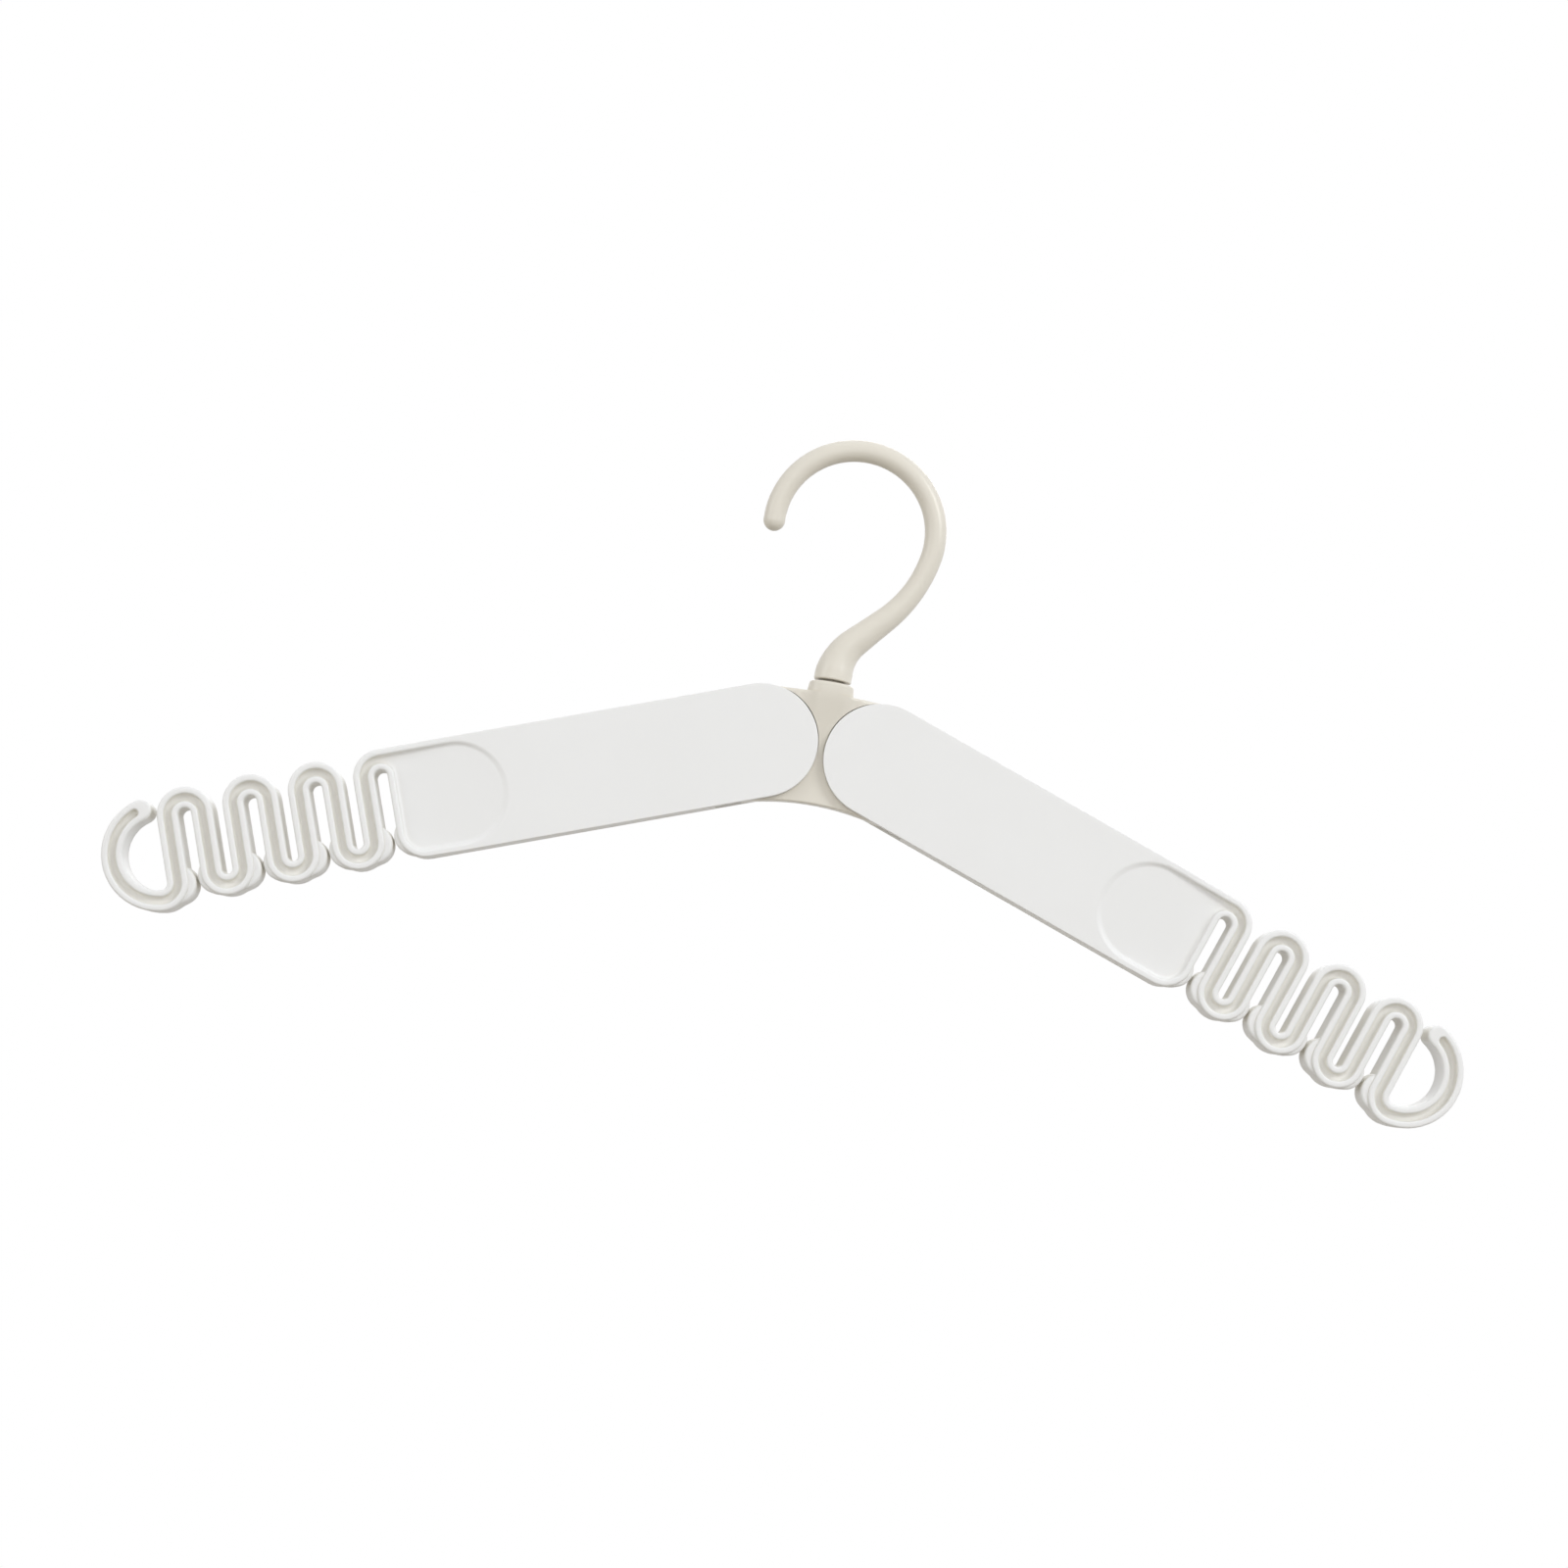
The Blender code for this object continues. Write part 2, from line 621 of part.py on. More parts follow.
def cover_outline():
    """Outline of the rear cover, a slab with the round inner end and the lower corner of the arm."""
    inner_end = arc((0.0, 0.0), ARM_HALF_WIDTH, 270.0, 90.0, FINE_STEP)
    turn = math.degrees(math.acos((COVER_LENGTH - slab_corner()[0]) / SLAB_CORNER_RADIUS))
    corner = arc(slab_corner(), SLAB_CORNER_RADIUS, -turn, -90.0)
    return inner_end + [(COVER_LENGTH, ARM_HALF_WIDTH)] + corner


def arm_rear_cover(name, parent):
    """Rear part of an arm, with lips that locate it inside the walls."""
    cover = plate(name, cover_outline(), CHEEK_INSIDE, HALF_THICKNESS, parent, RIM)
    lip_face = CAVITY_HALF - RUNNING_GAP
    lip_end = CAVITY_END - RUNNING_GAP
    for index, side in enumerate((-1.0, 1.0)):
        edges = sorted((side * lip_face, side * (lip_face - LIP)))
        low = (LIP_START, CHEEK_INSIDE - LIP_HEIGHT, edges[0])
        high = (lip_end, CHEEK_INSIDE + CHEEK / 2, edges[1])
        join(cover, box(f"lip_{index}", low, high, parent))
    head_floor = HALF_THICKNESS - HEAD_RECESS
    screws = [(0.0, PIVOT_SHANK_RADIUS, PIVOT_HEAD_RADIUS)]
    screws += [(place, COVER_SHANK_RADIUS, COVER_HEAD_RADIUS) for place in BOSS_PLACES]
    for index, (place, shank, head) in enumerate(screws):
        profile = stepped_profile(
            head + RUNNING_GAP, HALF_THICKNESS + OVERRUN, shank + RUNNING_GAP, head_floor,
            CHEEK_INSIDE - OVERRUN
        )
        hole = turned(f"screw_hole_{index}", profile, parent, ROUND_STEPS, "Y", (place, 0.0), helper=True)
        cut(cover, hole)
    finish(cover, ARM_PLASTIC)
    return cover


def screw(name, parent, place, head, shank, length, seat):
    """Self-tapping screw with a flat head, set in from the rear onto a seat."""
    under_head = seat + RUNNING_GAP
    profile = stepped_profile(head, under_head + HEAD_HEIGHT, shank, under_head, under_head - length)
    obj = turned(name, profile, parent, SMALL_STEPS, "Y", place)
    finish(obj, STEEL)
    return obj


def detent_spring(name, parent):
    """Leaf spring whose nose clicks into the notches of the hub lobe."""
    obj = plate(name, leaf_outline(), -LEAF_WIDTH / 2, LEAF_WIDTH / 2, parent)
    finish(obj, STEEL)
    return obj


def build_arm(side, parent):
    """All the pieces of the right arm."""
    seat = HALF_THICKNESS - HEAD_RECESS
    pieces = [arm_front_shell(f"{side}_arm_front_shell", parent)]
    pieces.append(arm_rear_cover(f"{side}_arm_rear_cover", parent))
    pivot = (PIVOT_HEAD_RADIUS, PIVOT_SHANK_RADIUS, PIVOT_SHANK_LENGTH)
    pieces.append(screw(f"{side}_pivot_screw", parent, (0.0, 0.0), *pivot, seat))
    cover = (COVER_HEAD_RADIUS, COVER_SHANK_RADIUS, COVER_SHANK_LENGTH - 2 * RUNNING_GAP)
    for label, place in zip(("mid", "end"), BOSS_PLACES):
        pieces.append(screw(f"{side}_cover_screw_{label}", parent, (place, 0.0), *cover, seat))
    pieces.append(detent_spring(f"{side}_detent_spring", parent))
    return pieces


def mirror_arm(pieces, parent):
    """The left arm, each piece the mirror image of its fellow on the right."""
    for piece in pieces:
        mesh = piece.data.copy()
        mesh.transform(Matrix.Scale(-1.0, 4, (1.0, 0.0, 0.0)) @ piece.matrix_basis)
        mesh.flip_normals()
        name = piece.name.replace("right_", "left_")
        material = piece.data.materials[0].copy()
        material.name = name + "_finish"
        mesh.materials.clear()
        mesh.materials.append(material)
        mesh_object(name, mesh, parent, helper=False)


def hub_arch(x):
    """Height of the hub's hollow lower edge."""
    return HUB_ARCH_RADIUS - math.sqrt(HUB_ARCH_RADIUS ** 2 - x ** 2)


def hub_outline():
    """Hub plate: flat top, two lobes in the arms, feet and a hollow lower edge."""
    pivot = (HALF_SPACING, 0.0)
    step = 90.0 - math.degrees(OPEN_DROOP)
    outer_step = step + math.degrees(RUNNING_GAP / HUB_TOP)
    inner_step = step + math.degrees(RUNNING_GAP / LOBE_RADIUS)
    right = arc(pivot, HUB_TOP, 90.0, outer_step, FINE_STEP)
    right += arc(pivot, LOBE_RADIUS, inner_step, HUB_FOOT_ANGLE, FINE_STEP)
    foot_x = right[-1][0]
    for share in ARCH_SHARES:
        right.append((foot_x * share, -HUB_BOTTOM - hub_arch(foot_x * share)))
    left = [(-x, z) for x, z in reversed(right)]
    return right + [(0.0, -HUB_BOTTOM)] + left


def spindle_profile():
    """Barrel for the swivel, which runs down into the hub plate in a hollow flare."""
    profile = [
        (0.0, COLLAR_TOP),
        (COLLAR_RADIUS - COLLAR_CHAMFER, COLLAR_TOP),
        (COLLAR_RADIUS, COLLAR_TOP - COLLAR_CHAMFER),
    ]
    height = SPINDLE_HEIGHT - SPINDLE_TOE_HEIGHT
    spread = SPINDLE_RADIUS - SPINDLE_TOE_RADIUS
    for share in SPINDLE_SHARES:
        radius = SPINDLE_TOE_RADIUS + spread * share ** SPINDLE_FLARE
        profile.append((radius, SPINDLE_TOE_HEIGHT + height * share))
    return profile + [(0.0, SPINDLE_TOE_HEIGHT)]


def swivel_pocket_profile():
    """Bore for the hook's stem and the pocket for its head."""
    ceiling = STEM_HEAD_LOW + STEM_HEAD_HEIGHT + RUNNING_GAP
    floor = STEM_HEAD_LOW - RUNNING_GAP
    bore = STEM_RADIUS + RUNNING_GAP
    pocket = STEM_HEAD_RADIUS + RUNNING_GAP
    return stepped_profile(bore, COLLAR_TOP + OVERRUN, pocket, ceiling, floor)


def lobe_cutters(parent):
    """Pivot bores and the detent notches of both lobes."""
    deep = HUB_HALF + OVERRUN
    bore = cylinder_profile(PIVOT_BOSS_RADIUS + RUNNING_GAP, -deep, deep)
    notch = cylinder_profile(DETENT_NOTCH_RADIUS, -deep, deep)
    reach = LOBE_RADIUS + DETENT_NOTCH_RADIUS - DETENT_NOTCH_DEPTH
    open_angle = DETENT_ANGLE - math.degrees(OPEN_DROOP)
    cutters = []
    for side in (-1.0, 1.0):
        pivot = (side * HALF_SPACING, 0.0)
        cutters.append(turned("pivot_bore", bore, parent, ROUND_STEPS, "Y", pivot, helper=True))
        for angle in (open_angle, open_angle - math.degrees(FOLD_ANGLE)):
            x, z = polar((HALF_SPACING, 0.0), reach, angle)
            cutters.append(turned("notch", notch, parent, SMALL_STEPS, "Y", (side * x, z), helper=True))
    return cutters


def hub_shell(name, rear, parent):
    """Front or rear half of the hub, parted at the middle plane."""
    shell = plate(name, hub_outline(), -HUB_HALF, HUB_HALF, parent, RIM)
    join(shell, turned("spindle", spindle_profile(), parent, helper=True))
    far = HALF_SPACING + ARM_HALF_WIDTH + OVERRUN
    face = SEAM_GAP / 2
    spans = (-far, face) if rear else (-face, far)
    cut(shell, box("other_half", (-far, spans[0], -far), (far, spans[1], far), parent))
    cut(shell, turned("swivel_pocket", swivel_pocket_profile(), parent, helper=True))
    cut(shell, *lobe_cutters(parent))
    seat = face + HUB_SEAT
    hole = HUB_SHANK_RADIUS + RUNNING_GAP
    for height in HUB_SCREW_PLACES.values():
        if rear:
            head = HUB_HEAD_RADIUS + RUNNING_GAP
            profile = stepped_profile(head, SPINDLE_RADIUS + OVERRUN, hole, seat, -OVERRUN)
        else:
            profile = cylinder_profile(hole, -HUB_SCREW_BITE - RUNNING_GAP, OVERRUN)
        place = (0.0, height)
        cut(shell, turned("hub_screw_hole", profile, parent, SMALL_STEPS, "Y", place, helper=True))
    finish(shell, HUB_PLASTIC)
    return shell


def washer(name, parent):
    """Thin washer between the hub's collar and the hook's base."""
    low = COLLAR_TOP + WASHER_PLAY
    disc = turned(name, cylinder_profile(WASHER_RADIUS, low, low + WASHER_THICKNESS), parent)
    hole = cylinder_profile(STEM_RADIUS + RUNNING_GAP, low - OVERRUN, low + OVERRUN)
    cut(disc, turned("washer_hole", hole, parent, helper=True))
    finish(disc, ACETAL)
    return disc


def wire_radius(height):
    """Radius of the hook's wire, which thickens towards the base."""
    share = (height - HOOK_BASE - HOOK_TAPER_START) / (HOOK_TAPER_END - HOOK_TAPER_START)
    share = min(1.0, max(0.0, share))
    return HOOK_WIRE_RADIUS + (1.0 - share) ** 2 * (HOOK_BASE_RADIUS - HOOK_WIRE_RADIUS)


def hook_line():
    """Centre line of the hook with its radius, from the round tip down to the base."""
    centre = (HOOK_OFFSET, HOOK_CENTRE)
    reach = HOOK_SHOULDER_RADIUS - HOOK_RADIUS
    shoulder_centre = polar(centre, -reach, HOOK_SHOULDER_ANGLE)
    neck_centre = (HOOK_NECK_RADIUS, HOOK_BASE + HOOK_BASE_STRAIGHT)
    tip = polar(centre, HOOK_RADIUS, HOOK_TIP_ANGLE)
    line = []
    for angle in (85.0, 60.0, 30.0):
        bulge = math.radians(angle)
        place = polar(tip, HOOK_WIRE_RADIUS * math.sin(bulge), HOOK_TIP_ANGLE + 90.0)
        line.append((place, HOOK_WIRE_RADIUS * math.cos(bulge)))
    bends = arc(centre, HOOK_RADIUS, HOOK_TIP_ANGLE, HOOK_SHOULDER_ANGLE, FINE_STEP)
    shoulder = arc(shoulder_centre, HOOK_SHOULDER_RADIUS, HOOK_SHOULDER_ANGLE, HOOK_NECK_ANGLE, FINE_STEP)
    bends += shoulder[1:]
    bends += arc(neck_centre, HOOK_NECK_RADIUS, 180.0 + HOOK_NECK_ANGLE, 180.0, FINE_STEP)
    line += [(point, wire_radius(point[1])) for point in bends]
    line.append(((0.0, HOOK_BASE + HOOK_BASE_RIM), HOOK_BASE_RADIUS))
    line.append(((0.0, HOOK_BASE), HOOK_BASE_RADIUS - HOOK_BASE_RIM))
    return line


def hook_piece(name, parent):
    """Hook of round wire with its moulded swivel stem."""
    line = hook_line()
    curve = bpy.data.curves.new(name, "CURVE")
    curve.dimensions = "3D"
    curve.bevel_depth = HOOK_WIRE_RADIUS
    curve.bevel_resolution = 5
    curve.use_fill_caps = True
    spline = curve.splines.new("POLY")
    spline.points.add(len(line) - 1)
    for point, ((x, z), radius) in zip(spline.points, line):
        point.co = (x, 0.0, z, 1.0)
        point.radius = radius / HOOK_WIRE_RADIUS
    source = bpy.data.objects.new(name + "_line", curve)
    bpy.context.scene.collection.objects.link(source)
    mesh = evaluated_mesh(source)
    bpy.data.objects.remove(source)
    closed_mesh(mesh)
    obj = mesh_object(name, mesh, parent, helper=False)
    head_top = STEM_HEAD_LOW + STEM_HEAD_HEIGHT
    root = HOOK_BASE + OVERRUN
    stem = stepped_profile(STEM_RADIUS, root, STEM_HEAD_RADIUS, head_top, STEM_HEAD_LOW)
    join(obj, turned("stem", stem, parent, helper=True))
    finish(obj, HUB_PLASTIC)
    return obj


def hub_pieces(parent):
    """The hub's two shells, its screws and the swivel washer."""
    hub_shell("hub_front_shell", False, parent)
    hub_shell("hub_rear_shell", True, parent)
    seat = SEAM_GAP / 2 + HUB_SEAT
    length = seat + RUNNING_GAP + HUB_SCREW_BITE
    for name, height in HUB_SCREW_PLACES.items():
        screw(name, parent, (0.0, height), HUB_HEAD_RADIUS, HUB_SHANK_RADIUS, length, seat)
    washer("swivel_washer", parent)


clear_scene()
PARTS = new_collection("folding_travel_hanger")
CUTTERS = new_collection("cutters")
swivel = new_empty("swivel_axis", (0.0, 0.0, PIVOT_LINE))
hook_piece("hook", swivel)
hub_pieces(swivel)
right_pivot = new_empty("right_arm_pivot", (HALF_SPACING, 0.0, PIVOT_LINE), OPEN_DROOP)
left_pivot = new_empty("left_arm_pivot", (-HALF_SPACING, 0.0, PIVOT_LINE), -OPEN_DROOP)
mirror_arm(build_arm("right", right_pivot), left_pivot)
bpy.context.view_layer.update()
print(f"pivot line at {PIVOT_LINE / MM:.2f} mm, hook centre {HOOK_CENTRE / MM:.2f} mm above it")
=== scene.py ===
# %% [markdown]
# # Folding travel hanger
#
# A light hanger of two kinds of moulded plastic: white arms, and a warm grey hub and hook. The arms
# turn down about two pivots in the hub, and the hook turns about an upright stem. This lesson
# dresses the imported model: every moulding is built again as a smooth surface in the same place.

# %% Load the frame
import json
import math
import bmesh
import bpy
from mathutils import Matrix, Vector

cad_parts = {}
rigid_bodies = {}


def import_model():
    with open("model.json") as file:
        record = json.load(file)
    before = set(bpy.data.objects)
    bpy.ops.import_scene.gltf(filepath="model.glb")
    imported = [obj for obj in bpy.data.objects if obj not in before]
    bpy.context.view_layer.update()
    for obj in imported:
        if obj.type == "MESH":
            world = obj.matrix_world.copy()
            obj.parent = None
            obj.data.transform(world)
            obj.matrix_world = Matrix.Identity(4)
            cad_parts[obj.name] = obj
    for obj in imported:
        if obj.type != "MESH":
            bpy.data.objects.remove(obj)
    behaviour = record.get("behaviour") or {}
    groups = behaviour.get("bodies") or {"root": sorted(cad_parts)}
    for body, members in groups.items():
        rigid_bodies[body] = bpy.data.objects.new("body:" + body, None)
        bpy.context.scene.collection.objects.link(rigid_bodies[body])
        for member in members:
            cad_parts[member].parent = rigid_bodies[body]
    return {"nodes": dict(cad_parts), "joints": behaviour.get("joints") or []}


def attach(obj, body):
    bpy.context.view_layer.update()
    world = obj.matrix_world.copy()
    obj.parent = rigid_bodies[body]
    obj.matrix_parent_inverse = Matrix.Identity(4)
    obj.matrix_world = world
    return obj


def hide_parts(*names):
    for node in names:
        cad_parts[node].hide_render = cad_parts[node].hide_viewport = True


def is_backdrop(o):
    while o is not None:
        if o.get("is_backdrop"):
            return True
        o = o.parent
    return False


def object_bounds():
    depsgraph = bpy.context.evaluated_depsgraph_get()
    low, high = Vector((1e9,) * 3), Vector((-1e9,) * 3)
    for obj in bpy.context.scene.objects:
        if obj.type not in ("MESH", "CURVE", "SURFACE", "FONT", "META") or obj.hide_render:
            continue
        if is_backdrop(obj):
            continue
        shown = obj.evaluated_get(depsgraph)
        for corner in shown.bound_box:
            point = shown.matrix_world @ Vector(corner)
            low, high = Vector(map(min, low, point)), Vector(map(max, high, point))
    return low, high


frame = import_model()
cad_low, cad_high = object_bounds()
MM = 0.001
print("box in mm:", [round((b - a) / MM, 1) for a, b in zip(cad_low, cad_high)])

# %% [markdown]
# ## Where things are
#
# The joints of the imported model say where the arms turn. The hub and both arms share one flat
# layout: u runs along an arm from its pivot, w runs across it, and t is the distance towards the
# front. An outline drawn in u and w is then turned into place in one step.

# %% Places from the joints
JOINTS = {joint["name"]: joint for joint in frame["joints"]}
PIVOT = Vector(JOINTS["right_arm_fold"]["pos_m"])
OPEN_DROOP = math.radians(20.0)
HALF_SPACING = PIVOT.x


def flat_frame(origin, droop):
    """Matrix from u, w, t to the model's X, Y, Z, with +u turned down by droop."""
    along = Vector((math.cos(droop), 0.0, -math.sin(droop)))
    across = Vector((math.sin(droop), 0.0, math.cos(droop)))
    front = Vector((0.0, -1.0, 0.0))
    turn = Matrix((along, across, front)).transposed().to_4x4()
    return Matrix.Translation(origin) @ turn


ARM_FRAME = flat_frame(PIVOT, OPEN_DROOP)
HUB_FRAME = flat_frame(Vector((0.0, 0.0, PIVOT.z)), 0.0)
TO_LEFT = Matrix.Scale(-1.0, 4, (1.0, 0.0, 0.0))
print("pivot at", [round(c / MM, 2) for c in PIVOT], "mm")

# %% [markdown]
# ## Camera
#
# The photograph looks up at the hanger from below its middle, from a little to the left, and the
# picture is rolled so that the hanger leans to the right. A camera with that eye point, aim and
# roll puts every outline where the photograph has it. No lens shift is needed.

# %% Camera
EYE = Vector((-0.01661, -0.8, -0.18229))
PAN = math.radians(0.562)
TILT = math.radians(6.03)
ROLL = math.radians(9.84)
FOCAL_SHARE = 2826.9 / 1600.0
SENSOR_MM = 36.0
VIEW_END = 20.0


def add_camera():
    """A camera at the photograph's eye point, with its aim and roll."""
    data = bpy.data.cameras.new("camera")
    data.sensor_width = SENSOR_MM
    data.lens = FOCAL_SHARE * SENSOR_MM
    data.clip_end = VIEW_END
    camera = bpy.data.objects.new("camera", data)
    bpy.context.scene.collection.objects.link(camera)
    level = math.radians(90.0)
    aim = Matrix.Rotation(-PAN, 4, "Z") @ Matrix.Rotation(level + TILT, 4, "X")
    camera.matrix_world = Matrix.Translation(EYE) @ aim @ Matrix.Rotation(ROLL, 4, "Z")
    bpy.context.scene.camera = camera


add_camera()
bpy.context.scene.view_settings.view_transform = "Standard"
print("lens", round(FOCAL_SHARE * SENSOR_MM, 1), "mm")

# %% [markdown]
# ## Small helpers
#
# Outlines here are arcs and straight runs. Every arc gets a number of points from its sweep alone,
# not from its radius, so that two outlines that run side by side have points that match one to one.
# That is what lets a skin be stretched between them with plain four-sided faces.

# %% Outlines of arcs and runs
ARC_STEP = 7.5


def clamp(share):
    """Share held between 0 and 1."""
    return max(0.0, min(1.0, share))


def mix(start, end, share):
    """Value at a share of the way from one value to another."""
    return start + (end - start) * share


def smooth_step(value, low, high):
    """Smooth change from 0 at the low value to 1 at the high one."""
    share = clamp((value - low) / (high - low))
    return share * share * (3.0 - 2.0 * share)


def polar(centre, radius, degrees):
    """Point on a circle in the u, w plane."""
    angle = math.radians(degrees)
    return (centre[0] + radius * math.cos(angle), centre[1] + radius * math.sin(angle))


def arc(centre, radius, start, end, step=ARC_STEP):
    """Points along an arc, both ends included."""
    count = max(1, round(abs(end - start) / step))
    return [polar(centre, radius, start + (end - start) * i / count) for i in range(count + 1)]


def line_between(start, end, count):
    """Evenly spaced points along a straight run, without its last one."""
    (u, w), (far_u, far_w) = start, end
    return [(u + (far_u - u) * i / count, w + (far_w - w) * i / count) for i in range(count)]


print("points in a half circle:", len(arc((0.0, 0.0), 1.0, 0.0, 180.0)))

# %% Meshes and objects
WELD = 0.002 * MM


def link(name, data):
    """Put an object with this mesh or curve in the scene."""
    obj = bpy.data.objects.new(name, data)
    bpy.context.scene.collection.objects.link(obj)
    return obj


def evaluated_mesh(obj):
    """The mesh that an object's modifiers or curve make."""
    bpy.context.view_layer.update()
    graph = bpy.context.evaluated_depsgraph_get()
    return bpy.data.meshes.new_from_object(obj.evaluated_get(graph))


def apply_modifiers(obj):
    """Keep what the modifiers make as a plain mesh, and remove them."""
    obj.data = evaluated_mesh(obj)
    obj.modifiers.clear()
    return obj


def mesh_object(name, work):
    """Put a bmesh in the scene as an object."""
    mesh = bpy.data.meshes.new(name)
    work.to_mesh(mesh)
    work.free()
    return link(name, mesh)


def welded(mesh):
    """Merge coinciding points, turn the faces outwards and count the edges left open."""
    work = bmesh.new()
    work.from_mesh(mesh)
    bmesh.ops.remove_doubles(work, verts=work.verts, dist=WELD)
    bmesh.ops.recalc_face_normals(work, faces=work.faces)
    open_edges = sum(1 for edge in work.edges if not edge.is_manifold)
    work.to_mesh(mesh)
    work.free()
    return open_edges


def stretch(work, rows):
    """Four-sided faces between neighbouring rows of points that match one to one."""
    for near, far in zip(rows, rows[1:]):
        for i in range(len(near) - 1):
            work.faces.new((near[i], near[i + 1], far[i + 1], far[i]))

# %% [markdown]
# ## The arm's centre line
#
# Outboard of the slab the arm becomes one springy strip that winds up and down three and a half
# times and ends in a C-shaped hook for straps. Its centre line is a chain of arcs joined by
# straight runs, so a short loop can write it from the width of the strip and of its slots.

# %% Sizes of the arm and its strip
ARM_HALF_WIDTH = 16.6 * MM
ARM_THICKNESS = 10.0 * MM
ARM_REACH = 107.6 * MM
SLAB_CORNER_RADIUS = 8.0 * MM
STRAND = 6.1 * MM
SLOT_OPEN_BELOW = 3.8 * MM
SLOT_OPEN_ABOVE = 3.0 * MM
LOOP_COUNT = 3
LOW_BEND_HEIGHT = 9.3 * MM
HIGH_BEND_HEIGHT = 8.2 * MM
LOOP_DROP = 0.28 * MM
STRAP_HOOK_RADIUS = 13.65 * MM
STRAP_HOOK_CORNER = 4.95 * MM
STRAP_HOOK_SHIFT = -1.15 * MM
STRAP_HOOK_HEIGHT = -2.15 * MM
STRAP_HOOK_TIP = 75.0
GROOVE_TIP_STOP = 8.0
HALF_THICKNESS = ARM_THICKNESS / 2
HALF_STRAND = STRAND / 2
TOP_BEND_RADIUS = (SLOT_OPEN_BELOW + STRAND) / 2
LOW_BEND_RADIUS = (SLOT_OPEN_ABOVE + STRAND) / 2
FIRST_BEND = (ARM_REACH + SLOT_OPEN_BELOW / 2, ARM_HALF_WIDTH - HALF_STRAND - TOP_BEND_RADIUS)
SLAB_CORNER = (ARM_REACH - SLAB_CORNER_RADIUS, SLAB_CORNER_RADIUS - ARM_HALF_WIDTH)


# %% The chain of bends
def strand_bends():
    """Bends from the slab outwards, each a centre, a radius, a start and an end angle."""
    bends = [(FIRST_BEND, TOP_BEND_RADIUS, 90.0, 0.0)]
    x = FIRST_BEND[0]
    for loop in range(LOOP_COUNT):
        drop = loop * LOOP_DROP
        x += TOP_BEND_RADIUS + LOW_BEND_RADIUS
        bends.append(((x, -LOW_BEND_HEIGHT - drop), LOW_BEND_RADIUS, 180.0, 360.0))
        x += LOW_BEND_RADIUS + TOP_BEND_RADIUS
        bends.append(((x, HIGH_BEND_HEIGHT - drop), TOP_BEND_RADIUS, 180.0, 0.0))
    x += TOP_BEND_RADIUS + STRAP_HOOK_CORNER
    between = STRAP_HOOK_RADIUS - STRAP_HOOK_CORNER
    meet = -90.0 - math.degrees(math.asin(STRAP_HOOK_SHIFT / between))
    centre = (x + STRAP_HOOK_SHIFT, STRAP_HOOK_HEIGHT)
    bends.append((polar(centre, between, meet), STRAP_HOOK_CORNER, 180.0, 360.0 + meet))
    bends.append((centre, STRAP_HOOK_RADIUS, meet, STRAP_HOOK_TIP))
    return bends


BENDS = strand_bends()
HOOK_END = BENDS[-1]
GROOVE_END = HOOK_END[3] - GROOVE_TIP_STOP
print("strip winds to u =", round((HOOK_END[0][0] + HOOK_END[1] + HALF_STRAND) / MM, 1), "mm")

# %% [markdown]
# ## The strip's section
#
# Across, the strip is a channel: two round ridges with a soft groove between them, on the front
# and on the back alike. Half of the front half is written as a list of points, from the middle of
# the side wall over the ridge and down to the groove's floor. Mirror images give the rest.

# %% Half of the channel section
RIDGE = 1.95 * MM
GROOVE_DEPTH = 2.2 * MM
RIM_ROUND = 0.7 * MM
LIP_ROUND = 0.6 * MM
FLOOR_ROUND = 1.05 * MM
ROUND_STEP = 22.5
GROOVE_HALF = HALF_STRAND - RIDGE


def half_section():
    """Points as distance from the centre line and height t, from the side wall to the floor."""
    top = HALF_THICKNESS
    floor = top - GROOVE_DEPTH
    side = [(HALF_STRAND, 0.0)]
    rim = arc((HALF_STRAND - RIM_ROUND, top - RIM_ROUND), RIM_ROUND, 0.0, 90.0, ROUND_STEP)
    lip = arc((GROOVE_HALF + LIP_ROUND, top - LIP_ROUND), LIP_ROUND, 90.0, 180.0, ROUND_STEP)
    bed = arc((GROOVE_HALF - FLOOR_ROUND, floor + FLOOR_ROUND), FLOOR_ROUND, 0.0, -90.0, ROUND_STEP)
    return side + rim, lip + bed


RIM_POINTS, GROOVE_POINTS = half_section()
SECTION = RIM_POINTS + GROOVE_POINTS
print("points in a quarter of the section:", len(SECTION))

# %% [markdown]
# ## Sweeping the strip with Geometry Nodes
#
# A strip that keeps its section along a path is what Curve to Mesh is for. The tree takes the
# centre line as its input and the section as a named object. The curve lies flat, so its normals
# point along Z Up and the section can't twist. A few helpers keep every tree of this lesson short:
# they add a node and fill its inputs, begin and end a tree, and give a tree to an object.

# %% Helpers for node trees
def plug(tree, node, inputs):
    """Fill a node's inputs, each with a plain value or with a link from another socket."""
    for name, value in inputs.items():
        if isinstance(value, bpy.types.NodeSocket):
            tree.links.new(value, node.inputs[name])
        else:
            node.inputs[name].default_value = value
    return node


def add_node(tree, kind, inputs=None, **settings):
    """Add a node with its settings, and fill its inputs."""
    node = tree.nodes.new(kind)
    for name, value in settings.items():
        setattr(node, name, value)
    return plug(tree, node, inputs or {})


def new_tree(name, sockets):
    """Geometry node group with its named inputs, and the sockets that give their values."""
    tree = bpy.data.node_groups.new(name, "GeometryNodeTree")
    sockets = {"Geometry": "NodeSocketGeometry", **sockets, "Material": "NodeSocketMaterial"}
    for socket_name, kind in sockets.items():
        tree.interface.new_socket(name=socket_name, in_out="INPUT", socket_type=kind)
    tree.interface.new_socket(name="Geometry", in_out="OUTPUT", socket_type="NodeSocketGeometry")
    return tree, tree.nodes.new("NodeGroupInput").outputs


